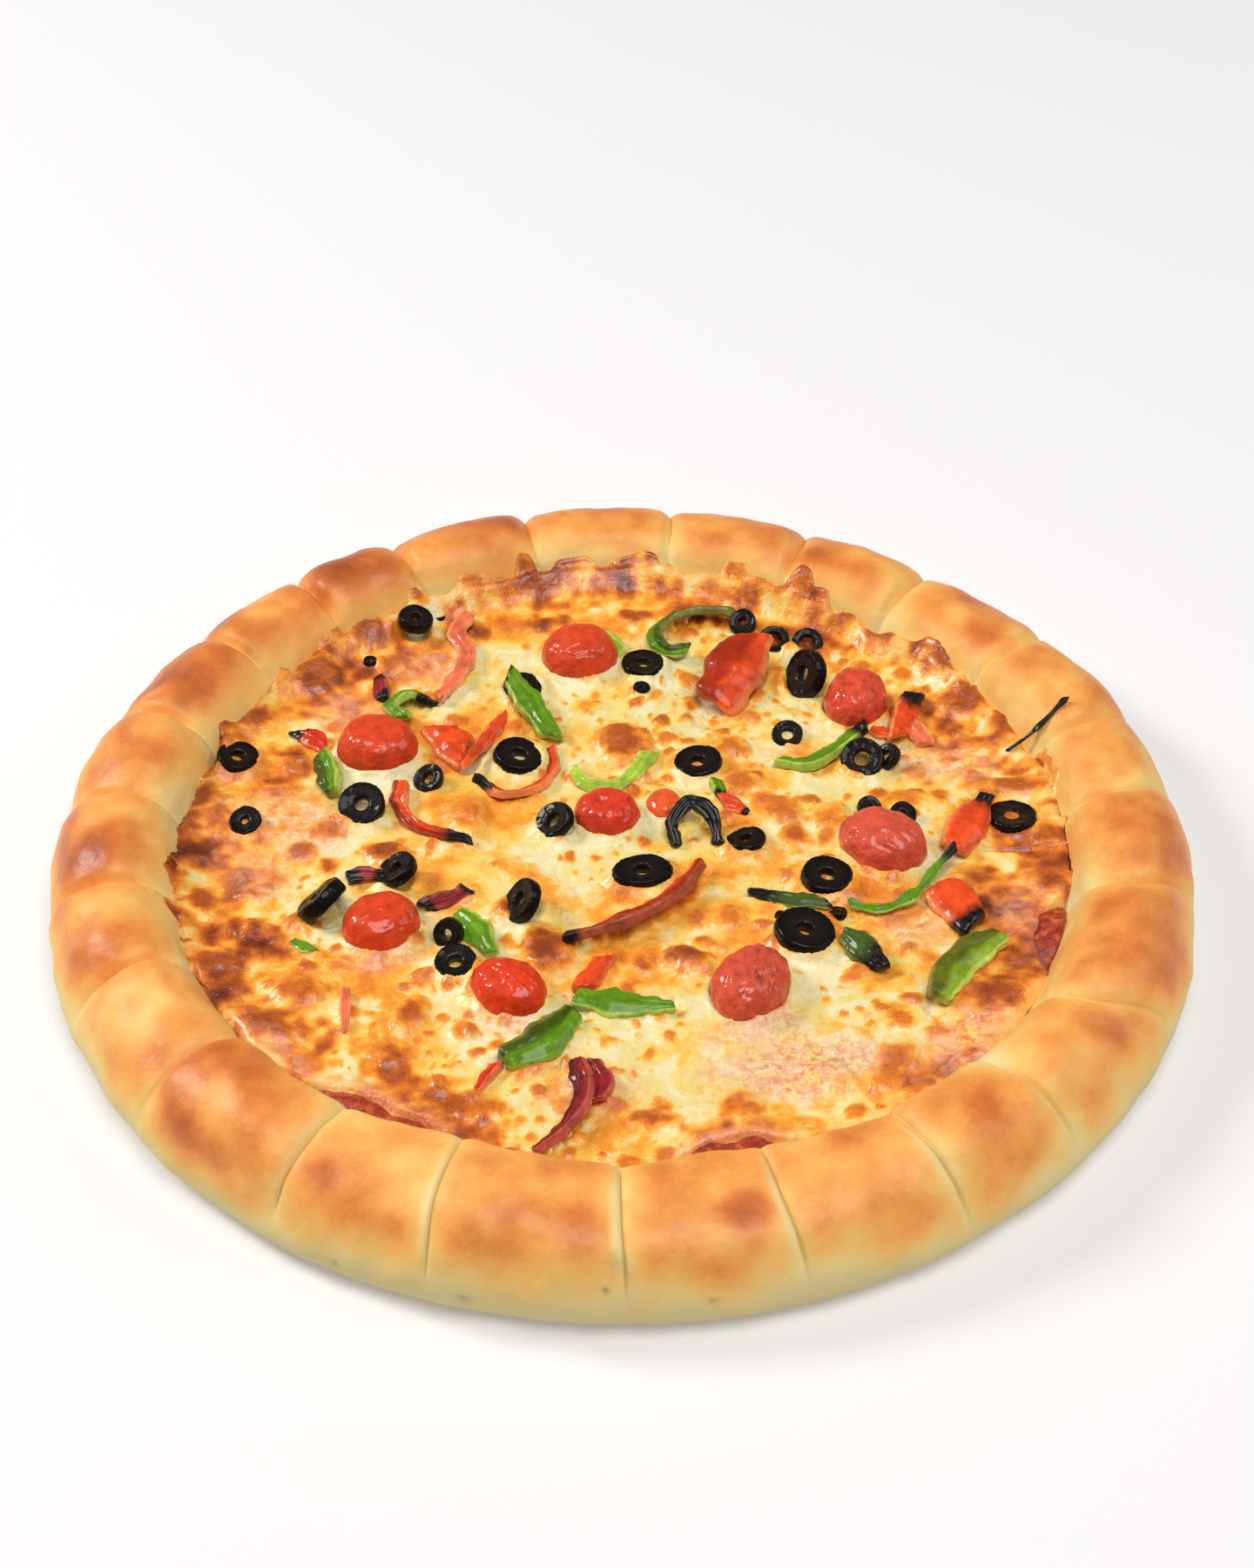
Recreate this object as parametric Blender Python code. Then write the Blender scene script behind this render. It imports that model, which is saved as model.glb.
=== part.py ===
"""Stuffed crust pizza, fourteen inches across, whole and uncut.

The origin is the middle of the flat underside, +Z is up and -Y is the front.
Every length below is in millimetres and every angle in degrees, measured
counterclockwise from +X as seen from above. Meshes are written in metres.

From the bottom up: the crust (a flat base with a stuffed rim that is pressed
into lobes by folds), the tomato sauce, the melted cheese, and the toppings,
which are dropped one after another onto whatever lies under them.
"""
import math
import random

import bmesh
import bpy
from mathutils import Euler, Matrix, Vector, noise
from mathutils.bvhtree import BVHTree
from mathutils.geometry import delaunay_2d_cdt

MM = 0.001
GAP = 0.35
ABOVE_ALL = 200.0

# Crust
FOLD_ANGLES = (
    270, 286, 302, 316, 332, 351, 366, 378, 394, 411, 427, 444,
    462, 479, 492, 506, 521, 535, 550, 564, 579, 597, 612,
)
LOBE_STEPS = (0.0, 0.07, 0.30, 0.50, 0.70, 0.93)
FLOOR_TOP = 9.0
CRUST_SECTION = (
    (134.0, FLOOR_TOP), (135.6, 14.0), (137.6, 19.5), (140.4, 25.2), (145.0, 29.8),
    (152.0, 32.3), (160.5, 31.0), (167.2, 26.8), (172.0, 20.3), (174.8, 12.5),
    (174.0, 5.0), (168.0, 0.0),
)
TOP_SLOPE_ROW = 4
FOLD_DEPTH = (0.0, 0.6, 1.4, 2.6, 4.4, 5.2, 5.0, 3.8, 2.0, 0.7, 0.0, 0.0)
ROLL_CENTRE = (155.0, 13.0)
LOBE_UNEVEN = 1.3
CROWN_SHARE = 0.25
# A fold's crease takes this share of its depth, the lobe's round shoulders the rest
CREASE_SHARE = 0.4
CREASE_START = 0.86
# The rim is drawn in a little at the back: middle angle, half width, amount
DRAWN_IN = ((58, 40, 4.8), (116, 34, 3.0))
# How far the rim's inner shoulder bulges in at the front (angle, amount), and each point's share
FRONT_BULGE = (
    (222, 0.0), (234, 3.5), (243, 8.5), (249, 10.0), (256, 8.0), (262, 5.5), (270, 6.0),
    (279, 8.0), (288, 7.5), (300, 6.0), (312, 4.0), (326, 1.5), (340, 0.0),
)
BULGE_SHARES = (0.0, 0.1, 0.3, 0.6, 0.9, 0.5, 0.1, 0.0, 0.0, 0.0, 0.0, 0.0)

# Sauce, which is flat inside the ramp's start and rises by the lip in its bands.
# A band is where it shows beyond the cheese: start angle, end angle, width
SAUCE_TOP = 10.4
SAUCE_RAMP = 120.0
SAUCE_LIP = 4.5
SAUCE_CLEARANCE = 0.65
SAUCE_BANDS = ((221, 252, 6.0), (273, 293, 8.0), (335, 353, 3.0))
BAND_FADE = 0.4

# Melted cheese: its level, the roll of its surface as (size, height), and its points
CHEESE_TOP = 16.2
CHEESE_ROLLS = ((21, 0.9), (8, 0.4))
CHEESE_GRID = 8.2
CHEESE_REACH = 150.0
POINT_SPACING = 0.48 * CHEESE_GRID
EDGE_STRIP = 5.0
FOOT_CLEARANCE = 1.6
FREE_EDGE_RISE = 2.4
FREE_EDGE_SLANT = 0.8
EDGE_CLEARANCE = 1.1
BAND_CLEARANCE = 1.2
BAND_MARGIN = 7
CHEESE_FILLET = 9.0

# How high the cheese climbs the rim: everywhere, unevenly, more at the back, and in
# pointed drips, each an angle and a height
CLIMB = 10.0
CLIMB_UNEVEN = 2.0
CLIMB_AT_BACK = 4.0
CLIMB_LIMIT = 18.5
BACK_ANGLE = 90
BACK_FULL = 30
BACK_END = 85
DRIPS = ((57, 5), (65, 6), (75, 6), (90, 5), (103, 6), (117, 4), (141, 4), (155, 3), (187, 4), (14, 3))
DRIP_HALF_WIDTH = 3.0

# Browned blisters of the cheese: x, y, radius, height
BLISTER_SPREAD = 1.4
BLISTER_SIDES = 6
BLISTERS = (
    (0, 49, 9, 2.0), (51, 82, 5, 1.5), (36, 47, 6, 1.8), (37, 29, 6, 1.8), (48, 17, 7, 2.2),
    (66, 14, 6, 2.0), (32, -31, 5, 1.6), (19, -49, 7, 2.4), (-24, -45, 8, 3.6),
    (-47, 14, 8, 2.4), (-73, -3, 6, 1.6), (-134, 14, 7, 2.4), (-119, -54, 8, 2.0),
    (-104, -76, 8, 2.0), (-94, -63, 6, 1.6), (-62, -71, 6, 1.6), (-101, 83, 8, 2.0),
    (-85, 103, 7, 2.2), (-118, 60, 8, 2.0), (110, 69, 8, 2.4), (122, 57, 6, 2.0),
    (86, 101, 7, 2.2), (124, 30, 6, 1.8), (130, 3, 6, 1.8), (110, -64, 8, 2.2), (58, -94, 6, 1.8),
)

# Small scraps of olive and pepper baked into the cheese: x, y, radius, height
SCRAPS = (
    (41, 110, 4.2, 2.6), (84, 41, 4.2, 3.0), (-51, -40, 4.0, 3.0), (-61, 31, 4.0, 2.4),
    (121, 15, 6.0, 1.8), (53, 54, 4.5, 1.5), (76, 20, 3.2, 1.5), (89, 17, 3.4, 1.5),
    (-78, 77, 4.0, 2.0), (-100, 51, 5.0, 2.2), (-80, -15, 5.0, 2.4), (95, 54, 4.5, 1.8),
    (-4, 102, 5.0, 2.0), (35, 19, 4.0, 1.8), (-38, -96, 3.5, 1.5),
)

# Cherry tomato halves, skin up: x, y, half length, half width, height, turn, lean
TOMATOES = (
    (-78, 45, 13.0, 12.0, 12.5, 0, 4),
    (-14, 92, 12.8, 11.8, 12.5, 10, 4),
    (-5, 13, 10.3, 9.8, 10.5, 0, 0),
    (-72, -36, 12.0, 10.6, 11.0, 25, 8),
    (-33, -63, 12.5, 9.8, 11.5, -38, 4),
    (37, -62, 14.5, 11.2, 12.5, 62, 6),
    (80, -1, 14.2, 11.6, 13.0, -30, 6),
    (75, 67, 12.5, 10.2, 14.0, 76, 8),
    (13, 18, 7.0, 6.0, 7.0, 90, 0),
)

TOMATO_SIDES = 12
# Share of the half length and share of the height, from the cut face up
DOME_SECTION = ((0.90, 0.0), (1.0, 0.22), (0.90, 0.58), (0.62, 0.86))

# Black olive slices: x, y, radius, hole radius, thickness, lean, direction of the lean
OLIVES = (
    (-69, 107, 5.8, 1.6, 4.0, 8, 0),
    (7, 88, 7.3, 2.3, 3.6, 6, 60),
    (-32, 76, 7.0, 2.2, 3.6, 10, 20),
    (-33, 41, 8.0, 2.4, 4.2, 10, 0),
    (-81, 16, 7.4, 2.2, 4.4, 26, 250),
    (-122, 40, 6.8, 2.2, 3.2, 12, 0),
    (24, 38, 7.7, 2.2, 4.2, 6, 180),
    (50.5, 99.5, 5.2, 2.8, 3.2, 20, 275),
    (61.5, 98, 5.4, 2.7, 3.2, 26, 262),
    (60, 78, 8.2, 2.2, 4.6, 60, 205),
    (76, 38, 7.0, 2.6, 3.4, 30, 250),
    (-21, 9, 6.6, 2.3, 3.6, 34, 200),
    (62, -15, 8.0, 2.3, 4.2, 4, 0),
    (54, -39.5, 9.2, 2.4, 4.8, 8, 0),
    (38, 2, 6.4, 1.9, 3.6, 12, 120),
    (-90, -28, 8.2, 2.0, 5.0, 48, 150),
    (-68, -14, 6.2, 2.0, 3.8, 30, 180),
    (-49, -52, 6.4, 2.0, 3.8, 12, 250),
    (-30, -28, 7.2, 2.2, 3.8, 48, 190),
)
# The olive cut lengthwise: x, y, half length, half width, hole radius, thickness, turn
LONG_OLIVE = (6, -13, 9.6, 6.4, 2.0, 4.8, 8)
OLIVE_SIDES = 12
# Share of the way from the hole to the skin and share of half the thickness
OLIVE_SECTION = ((1.0, 0.0), (0.80, 1.0), (0.0, 0.8), (0.0, -0.8), (0.80, -1.0))

# Pepper strips: route points (x, y, lift), half widths at start, middle and end,
# thickness, roll about the route; the lift raises an end that lies on something
GREEN_PEPPERS = (
    (((-37, 77, 5), (-30, 66, 2), (-22, 50, 0)), (3.6, 4.2, 3.4), 3.0, 10),
    (((-63, 67, 0), (-69, 71, 0), (-74, 66, 0), (-70, 60, 0)), (2.4, 2.8, 2.4), 3.0, 35),
    (((-95, 41, 0), (-92, 32, 0), (-90, 23, 0)), (2.6, 3.8, 2.2), 3.4, 25),
    (((-15, 35, 0), (-11, 28, 0), (-3, 27, 0), (4, 35, 0), (8, 43, 0)), (2.0, 2.5, 2.8), 2.8, 20),
    (((38, 113, 0), (21, 112, 0), (12, 102, 0), (15, 94, 0), (22, 95, 0)), (2.0, 3.0, 2.0), 2.8, 40),
    (((79, 53, 3), (74, 49, 1), (60, 37, 0), (49, 38, 0)), (2.2, 2.6, 1.6), 2.8, 20),
    (((38, -21, 0), (51, -25, 0), (63, -27, 0)), (1.6, 2.8, 2.0), 2.4, 12),
    (((68, -27, 0), (77, -29, 0), (87, -24, 1), (95, -14, 3), (101, -6, 4)), (1.4, 1.8, 1.2), 2.2, 25),
    (((91, -67, 0), (98, -53, 0), (112, -41, 0)), (3.6, 5.4, 3.0), 3.6, 15),
    (((-14, -66, 0), (0, -69, 0), (15, -69, 0)), (2.6, 4.6, 2.0), 2.8, 10),
    (((-34, -91, 0), (-23, -84, 0), (-14, -72, 0)), (3.6, 5.8, 2.8), 3.0, 12),
    (((-49, -31, 0), (-43, -39, 0), (-38, -48, 0)), (2.6, 4.2, 2.6), 2.8, 12),
    (((66, -40, 0), (71, -46, 0), (77, -54, 0)), (2.2, 4.2, 3.0), 3.0, 24),
)
RED_PEPPERS = (
    (((44, 95, 6), (37, 82, 3), (30, 66, 0)), (6.0, 10.5, 7.5), 3.2, -12),
    (((-59, 55, 0), (-54, 47, 0), (-50, 40, 0)), (5.5, 6.6, 4.0), 3.0, 12),
    (((-51, 33, 0), (-44, 46, 0), (-38, 59, 0)), (1.6, 2.4, 1.6), 2.6, 30),
    (((-51, 114, 0), (-55, 104, 0), (-51, 93, 0), (-54, 81, 0), (-60, 70, 0)), (2.2, 3.0, 2.2), 2.6, 10),
    (((-22, 46, 0), (-21, 36, 0), (-27, 26, 0), (-38, 23, 0), (-46, 31, 0)), (1.8, 2.2, 1.6), 2.4, 35),
    (((-69, 29, 0), (-69, 18, 0), (-62, 8, 0), (-46, 2, 0)), (2.2, 2.8, 1.4), 2.4, 25),
    (((25, -10, 0), (16, -25, 0), (0, -37, 0), (-17, -44, 0)), (2.2, 4.2, 2.4), 3.0, 35),
    (((-11, -62, 0), (-8, -56, 0), (-5, -49, 0)), (3.2, 3.8, 3.4), 2.8, 5),
    (((101, -3, 0), (106, 7, 0), (114, 22, 0)), (5.0, 6.4, 2.0), 3.0, 12),
    (((95, -20, 0), (100, -27, 0), (105, -37, 0)), (5.0, 6.8, 4.6), 3.0, 10),
    (((87, 50, 0), (90, 60, 0), (94, 71, 0)), (3.2, 4.0, 2.6), 3.0, 25),
    (((-60, -27, 0), (-54, -24, 0), (-47, -19, 0)), (2.2, 3.2, 2.2), 2.6, 30),
    (((-12, -92, 0), (-10, -105, 0), (-15, -117, 0), (-24, -127, 0)), (2.6, 2.8, 1.8), 2.8, 30),
    (((16, 0, 0), (15, 7, 4), (21, 13, 7), (28, 9, 4), (30, 1, 0)), (2.2, 2.4, 2.0), 2.6, 25),
)
STRIP_SECTIONS_PER_SPAN = 3
ARCH = 0.42
WIDE_STRIP = 10.0

# How deep the toppings press into the cheese, and how far round each it slopes
TOMATO_SEAT_DEPTH = 2.2
OLIVE_SEAT_DEPTH = 1.8
STRIP_SEAT_DEPTH = 1.3
SEAT_BLEND = 3.5

# Colours are linear RGB, then roughness
FINISHES = {
    "baked_dough": ((0.78, 0.45, 0.16), 0.55),
    "sauce": ((0.42, 0.06, 0.02), 0.40),
    "melted_cheese": ((0.86, 0.64, 0.27), 0.35),
    "tomato_skin": ((0.62, 0.06, 0.02), 0.25),
    "olive_skin": ((0.012, 0.010, 0.012), 0.25),
    "green_pepper_skin": ((0.16, 0.34, 0.03), 0.30),
    "red_pepper_skin": ((0.62, 0.05, 0.02), 0.28),
}


def polar(radius, angle):
    return radius * math.cos(angle), radius * math.sin(angle)


def smooth(low, high, value):
    t = min(1.0, max(0.0, (value - low) / (high - low)))
    return t * t * (3 - 2 * t)


def clear_scene():
    for item in list(bpy.data.objects):
        bpy.data.objects.remove(item, do_unlink=True)


def make_material(name):
    colour, roughness = FINISHES[name]
    material = bpy.data.materials.new(name)
    material.use_nodes = True
    shader = material.node_tree.nodes["Principled BSDF"]
    shader.inputs["Base Color"].default_value = (*colour, 1.0)
    shader.inputs["Roughness"].default_value = roughness
    shader.inputs["Metallic"].default_value = 0.0
    return material


def add_object(name, points, faces, material, parent, location=(0, 0, 0), turn=(0, 0, 0)):
    mesh = bpy.data.meshes.new(name)
    mesh.from_pydata([Vector(p) * MM for p in points], [], faces)
    bm = bmesh.new()
    bm.from_mesh(mesh)
    bmesh.ops.recalc_face_normals(bm, faces=bm.faces)
    bm.to_mesh(mesh)
    bm.free()
    mesh.shade_smooth()
    mesh.materials.append(material)
    item = bpy.data.objects.new(name, mesh)
    item.location = Vector(location) * MM
    item.rotation_euler = turn
    item.parent = parent
    bpy.context.scene.collection.objects.link(item)
    return item


def ring_strip(first, second):
    """Faces between two closed rings of point numbers, listed the same way round."""
    count = len(first)
    return [
        (first[i], first[(i + 1) % count], second[(i + 1) % count], second[i])
        for i in range(count)
    ]


def drawn_in(degrees):
    """How far the rim is drawn in from a true circle at an angle."""
    return sum(
        amount * (1 - smooth(0, half_width, abs((degrees - middle + 180) % 360 - 180)))
        for middle, half_width, amount in DRAWN_IN
    )


def ring_triangles(inner, outer):
    """As ring_strip, but split so that two layers made from the same angles stay parallel."""
    faces = []
    for i in range(len(inner)):
        after = (i + 1) % len(inner)
        faces.append((inner[i], inner[after], outer[after]))
        faces.append((inner[i], outer[after], outer[i]))
    return faces


def front_bulge(degrees):
    """How far the rim's inner shoulder bulges in at an angle; only the front has any."""
    turn = degrees % 360
    for (low, before), (high, after) in zip(FRONT_BULGE, FRONT_BULGE[1:]):
        if low <= turn < high:
            return before + (after - before) * smooth(low, high, turn)
    return 0.0


class Crust:
    """The base and rim as columns of points, one column for each angle round the rim."""

    def __init__(self):
        picker = random.Random(7)
        self.angles = []
        self.shifts = []
        self.columns = []
        folds = FOLD_ANGLES + (FOLD_ANGLES[0] + 360,)
        for lobe in range(len(FOLD_ANGLES)):
            start, end = folds[lobe], folds[lobe + 1]
            swell = picker.uniform(-LOBE_UNEVEN, LOBE_UNEVEN)
            for step in LOBE_STEPS:
                degrees = start + (end - start) * step
                self.angles.append(math.radians(degrees))
                self.shifts.append(-drawn_in(degrees))
                self.columns.append(
                    self.column(step, swell, -drawn_in(degrees), front_bulge(degrees))
                )

    def column(self, step, swell, shift, bulge):
        across = abs(2 * step - 1)
        shoulder = across ** 4
        crease = max(0.0, (across - CREASE_START) / (1 - CREASE_START))
        fold = (1 - CREASE_SHARE) * shoulder + CREASE_SHARE * crease
        crown = CROWN_SHARE * swell * (1 - shoulder)
        points = []
        for (radius, height), depth, share in zip(CRUST_SECTION, FOLD_DEPTH, BULGE_SHARES):
            inward = Vector(ROLL_CENTRE) - Vector((radius, height))
            move = depth * (fold - crown)
            point = Vector((radius + shift - bulge * share, height))
            points.append(point + inward.normalized() * move)
        return points

    def slope(self, index, height):
        """Radius of the rim's inner slope at a height, the least of three columns."""
        count = len(self.columns)
        return min(
            self.column_slope(self.columns[(index + step) % count], height)
            for step in (-1, 0, 1)
        )

    def column_slope(self, column, height):
        for low, high in zip(column, column[1:TOP_SLOPE_ROW + 1]):
            if height <= high.y:
                share = (height - low.y) / (high.y - low.y)
                return low.x + (high.x - low.x) * share
        return column[TOP_SLOPE_ROW].x

    def build(self, material, parent):
        points = []
        rings = []
        for row in range(len(CRUST_SECTION)):
            ring = []
            for angle, column in zip(self.angles, self.columns):
                ring.append(len(points))
                points.append((*polar(column[row].x, angle), column[row].y))
            rings.append(ring)
        faces = []
        for lower, upper in zip(rings, rings[1:]):
            faces += ring_strip(lower, upper)
        faces.append(tuple(rings[0]))
        faces.append(tuple(rings[-1]))
        return add_object("crust", points, faces, material, parent)


def band_share(angle):
    """How much of the sauce shows beyond the cheese at an angle, and the band's width."""
    degrees = math.degrees(angle) % 360
    for start, end, width in SAUCE_BANDS:
        if start - BAND_MARGIN < degrees < end + BAND_MARGIN:
            rise = (end - start) * BAND_FADE
            share = smooth(start, start + rise, degrees) * (1 - smooth(end - rise, end, degrees))
            return share, width
    return 0.0, 0.0


def sauce_height(radius, share):
    """Top of the sauce: flat inside, ramped against the rim where it shows."""
    ramp = (radius - SAUCE_RAMP) / (CRUST_SECTION[0][0] - SAUCE_RAMP)
    return SAUCE_TOP + SAUCE_LIP * share * max(0.0, ramp)


def build_sauce(crust, material, parent):
    points = []
    inner, lip, foot = [], [], []
    for index, angle in enumerate(crust.angles):
        share, _ = band_share(angle)
        lip_height = SAUCE_TOP + SAUCE_LIP * share
        lip_radius = crust.slope(index, lip_height) - SAUCE_CLEARANCE
        # The lip lies on the ramp's own line, so that the cheese above clears it
        lip_height = sauce_height(lip_radius, share)
        for ring, radius, height in (
            (inner, SAUCE_RAMP, SAUCE_TOP),
            (lip, lip_radius, lip_height),
            (foot, CRUST_SECTION[0][0] + crust.shifts[index] - SAUCE_CLEARANCE, FLOOR_TOP + GAP),
        ):
            ring.append(len(points))
            points.append((*polar(radius, angle), height))
    faces = [tuple(inner), tuple(foot)]
    faces += ring_triangles(inner, lip)
    faces += ring_strip(lip, foot)
    return add_object("tomato_sauce", points, faces, material, parent)


def catmull_rom(a, b, c, d, t):
    """A point between b and c of a curve that passes through all four."""
    return 0.5 * (
        2 * b + (c - a) * t + (2 * a - 5 * b + 4 * c - d) * t ** 2
        + (3 * b - a - 3 * c + d) * t ** 3
    )


def route_points(route, per_span):
    """Points along a smooth curve through the route's own points."""
    knots = [Vector(p) for p in route]
    first = knots[0] * 2 - knots[1]
    last = knots[-1] * 2 - knots[-2]
    padded = [first] + knots + [last]
    result = []
    for a, b, c, d in zip(padded, padded[1:], padded[2:], padded[3:]):
        for step in range(per_span):
            t = step / per_span
            result.append(catmull_rom(a, b, c, d, t))
    result.append(knots[-1])
    return result


def cheese_seats():
    """Discs of cheese that the toppings press down: x, y, radius, depth."""
    seats = []
    for x, y, long, wide, _, _, _ in TOMATOES:
        seats.append((x, y, (long + wide) / 2, TOMATO_SEAT_DEPTH))
    for x, y, radius, _, _, _, _ in OLIVES:
        seats.append((x, y, radius, OLIVE_SEAT_DEPTH))
    x, y, long, wide, _, _, _ = LONG_OLIVE
    seats.append((x, y, (long + wide) / 2, OLIVE_SEAT_DEPTH))
    for route, widths, _, _ in GREEN_PEPPERS + RED_PEPPERS:
        for point in route_points(route, STRIP_SECTIONS_PER_SPAN):
            seats.append((point.x, point.y, widths[1], STRIP_SEAT_DEPTH))
    return seats


def cheese_height(x, y, seats):
    """Height of the melted surface away from the rim."""
    height = CHEESE_TOP
    for size, roll in CHEESE_ROLLS:
        height += roll * noise.noise((x / size, y / size, size))
    for bx, by, radius, rise in BLISTERS + SCRAPS:
        away = math.hypot(x - bx, y - by) / radius
        height += rise * (1 - smooth(0.0, BLISTER_SPREAD, away))
    press = 0.0
    for sx, sy, radius, depth in seats:
        away = math.hypot(x - sx, y - sy) - radius
        if away < SEAT_BLEND:
            press = max(press, depth * (1 - smooth(0.0, SEAT_BLEND, away)))
    return height - press


def climb_height(angle):
    """How high above the base's floor the cheese climbs the rim at an angle."""
    degrees = math.degrees(angle) % 360
    climb = CLIMB + CLIMB_UNEVEN * noise.noise((*polar(6, angle), 1.7))
    climb += CLIMB_AT_BACK * (1 - smooth(BACK_FULL, BACK_END, abs(degrees - BACK_ANGLE)))
    for centre, rise in DRIPS:
        away = abs((degrees - centre + 180) % 360 - 180)
        climb += rise * max(0.0, 1 - away / DRIP_HALF_WIDTH)
    return min(climb, CLIMB_LIMIT)


def cheese_rim(crust):
    """Three rings where the cheese ends: its top edge, middle and foot."""
    edge, middle, foot = [], [], []
    for index, angle in enumerate(crust.angles):
        share, width = band_share(angle)
        top = FLOOR_TOP + climb_height(angle)
        foot_radius = CRUST_SECTION[0][0] + crust.shifts[index] - FOOT_CLEARANCE - width * share
        foot_height = sauce_height(foot_radius, share) + GAP
        if width:
            foot_height += BAND_CLEARANCE
        half = (top + foot_height) / 2
        on_slope = (crust.slope(index, top) - EDGE_CLEARANCE, top)
        on_slope_half = (crust.slope(index, half) - EDGE_CLEARANCE, half)
        receded = (foot_radius - FREE_EDGE_SLANT, foot_height + FREE_EDGE_RISE)
        receded_half = (foot_radius, foot_height + FREE_EDGE_RISE / 2)
        for ring, held, free in (
            (edge, on_slope, receded),
            (middle, on_slope_half, receded_half),
        ):
            radius = held[0] + (free[0] - held[0]) * share
            height = held[1] + (free[1] - held[1]) * share
            ring.append(Vector((*polar(radius, angle), height)))
        foot.append(Vector((*polar(foot_radius, angle), foot_height)))
    return edge, middle, foot


def inner_cheese_points(edge):
    """Places of the melted surface's points: a staggered grid, blisters and scraps."""
    places = []
    for bx, by, radius, _ in BLISTERS + SCRAPS:
        places.append((bx, by))
        for side in range(BLISTER_SIDES):
            angle = math.tau * side / BLISTER_SIDES + bx
            places.append((bx + radius * math.cos(angle), by + radius * math.sin(angle)))
    row_step = CHEESE_GRID * math.sqrt(3) / 2
    rows = int(CHEESE_REACH / row_step)
    columns = int(CHEESE_REACH / CHEESE_GRID)
    for row in range(-rows, rows + 1):
        shift = (row % 2) * CHEESE_GRID / 2
        for column in range(-columns, columns + 1):
            places.append((column * CHEESE_GRID + shift, row * row_step))
    directions = [p.xy.normalized() for p in edge]
    kept = []
    for x, y in places:
        nearest = max(range(len(edge)), key=lambda i: directions[i].dot((x, y)))
        limit = edge[nearest].xy.length
        if math.hypot(x, y) > limit - EDGE_STRIP:
            continue
        if any(math.hypot(x - kx, y - ky) < POINT_SPACING for kx, ky, _ in kept):
            continue
        kept.append((x, y, nearest))
    return kept


def build_cheese(crust, material, parent):
    edge, middle, foot = cheese_rim(crust)
    seats = cheese_seats()
    points = [Vector(p) for p in edge]
    for x, y, nearest in inner_cheese_points(edge):
        inside = edge[nearest].xy.length - math.hypot(x, y)
        share = smooth(0.0, CHEESE_FILLET, inside)
        height = cheese_height(x, y, seats)
        points.append(Vector((x, y, edge[nearest].z + (height - edge[nearest].z) * share)))
    flat, _, faces, _, _, _ = delaunay_2d_cdt(
        [p.xy for p in points], [], [list(range(len(edge)))], 1, 1e-6
    )
    if len(flat) != len(points):
        raise ValueError("the cheese outline crosses itself")
    faces = [tuple(face) for face in faces]
    rings = [list(range(len(edge)))]
    inner = [
        Vector((*polar(SAUCE_RAMP, angle), SAUCE_TOP + GAP)) for angle in crust.angles
    ]
    for ring in (middle, foot, inner):
        rings.append(list(range(len(points), len(points) + len(ring))))
        points += ring
    faces += ring_strip(rings[0], rings[1])
    faces += ring_strip(rings[1], rings[2])
    faces += ring_triangles(rings[3], rings[2])
    faces.append(tuple(rings[3]))
    return add_object("cheese", points, faces, material, parent)


class Pile:
    """The solids already in place, which the next topping is lowered onto."""

    def __init__(self):
        self.layers = []

    def add(self, item):
        """Record a finished object's surface and a cloud of its points, in millimetres."""
        bpy.context.view_layer.update()
        to_mm = Matrix.Scale(1 / MM, 4) @ item.matrix_world
        mesh = item.data
        verts = [to_mm @ v.co for v in mesh.vertices]
        polygons = [tuple(p.vertices) for p in mesh.polygons]
        cloud = list(verts)
        for link in mesh.edges:
            a, b = (verts[i] for i in link.vertices)
            cloud += [a.lerp(b, 1 / 3), a.lerp(b, 2 / 3)]
        self.layers.append((BVHTree.FromPolygons(verts, polygons), cloud))

    def lift(self, points, faces):
        """How far to raise a shape so that it just clears everything below it."""
        above = BVHTree.FromPolygons(points, faces)
        samples = list(points)
        for face in faces:
            corners = [points[i] for i in face]
            samples.append(sum(corners, Vector()) / len(corners))
            for a, b in zip(corners, corners[1:] + corners[:1]):
                samples += [a.lerp(b, 1 / 3), a.lerp(b, 2 / 3)]
        low = Vector((min(p.x for p in points), min(p.y for p in points)))
        high = Vector((max(p.x for p in points), max(p.y for p in points)))
        clearance = math.inf
        sky = Vector((0, 0, ABOVE_ALL))
        for surface, cloud in self.layers:
            for p in samples:
                hit = surface.ray_cast(Vector((p.x, p.y, 0)) + sky, Vector((0, 0, -1)))[0]
                if hit:
                    clearance = min(clearance, p.z - hit.z)
            for p in cloud:
                if low.x < p.x < high.x and low.y < p.y < high.y:
                    hit = above.ray_cast(Vector((p.x, p.y, 0)) - sky, Vector((0, 0, 1)))[0]
                    if hit:
                        clearance = min(clearance, hit.z - p.z)
        return GAP - clearance


def drop(name, points, faces, place, turn, material, parent, pile):
    """Lower a shape, modelled round its own origin, onto the pile and add it there."""
    turned = [turn.to_matrix() @ Vector(p) + Vector((*place, 0)) for p in points]
    height = pile.lift(turned, faces)
    item = add_object(name, points, faces, material, parent, (*place, height), turn)
    pile.add(item)
    return item


def dome_shape(long, wide, height):
    """Half a cherry tomato: rounded skin over a slightly domed cut face."""
    points = []
    rings = []
    for share, rise in DOME_SECTION:
        ring = []
        for side in range(TOMATO_SIDES):
            x, y = polar(share, math.tau * side / TOMATO_SIDES)
            ring.append(len(points))
            points.append(Vector((x * long, y * wide, rise * height)))
        rings.append(ring)
    crown = len(points)
    points.append(Vector((0, 0, height)))
    faces = [tuple(reversed(rings[0]))]
    for lower, upper in zip(rings, rings[1:]):
        faces += ring_strip(lower, upper)
    top = rings[-1]
    faces += [(a, b, crown) for a, b in zip(top, top[1:] + top[:1])]
    return points, faces


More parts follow.
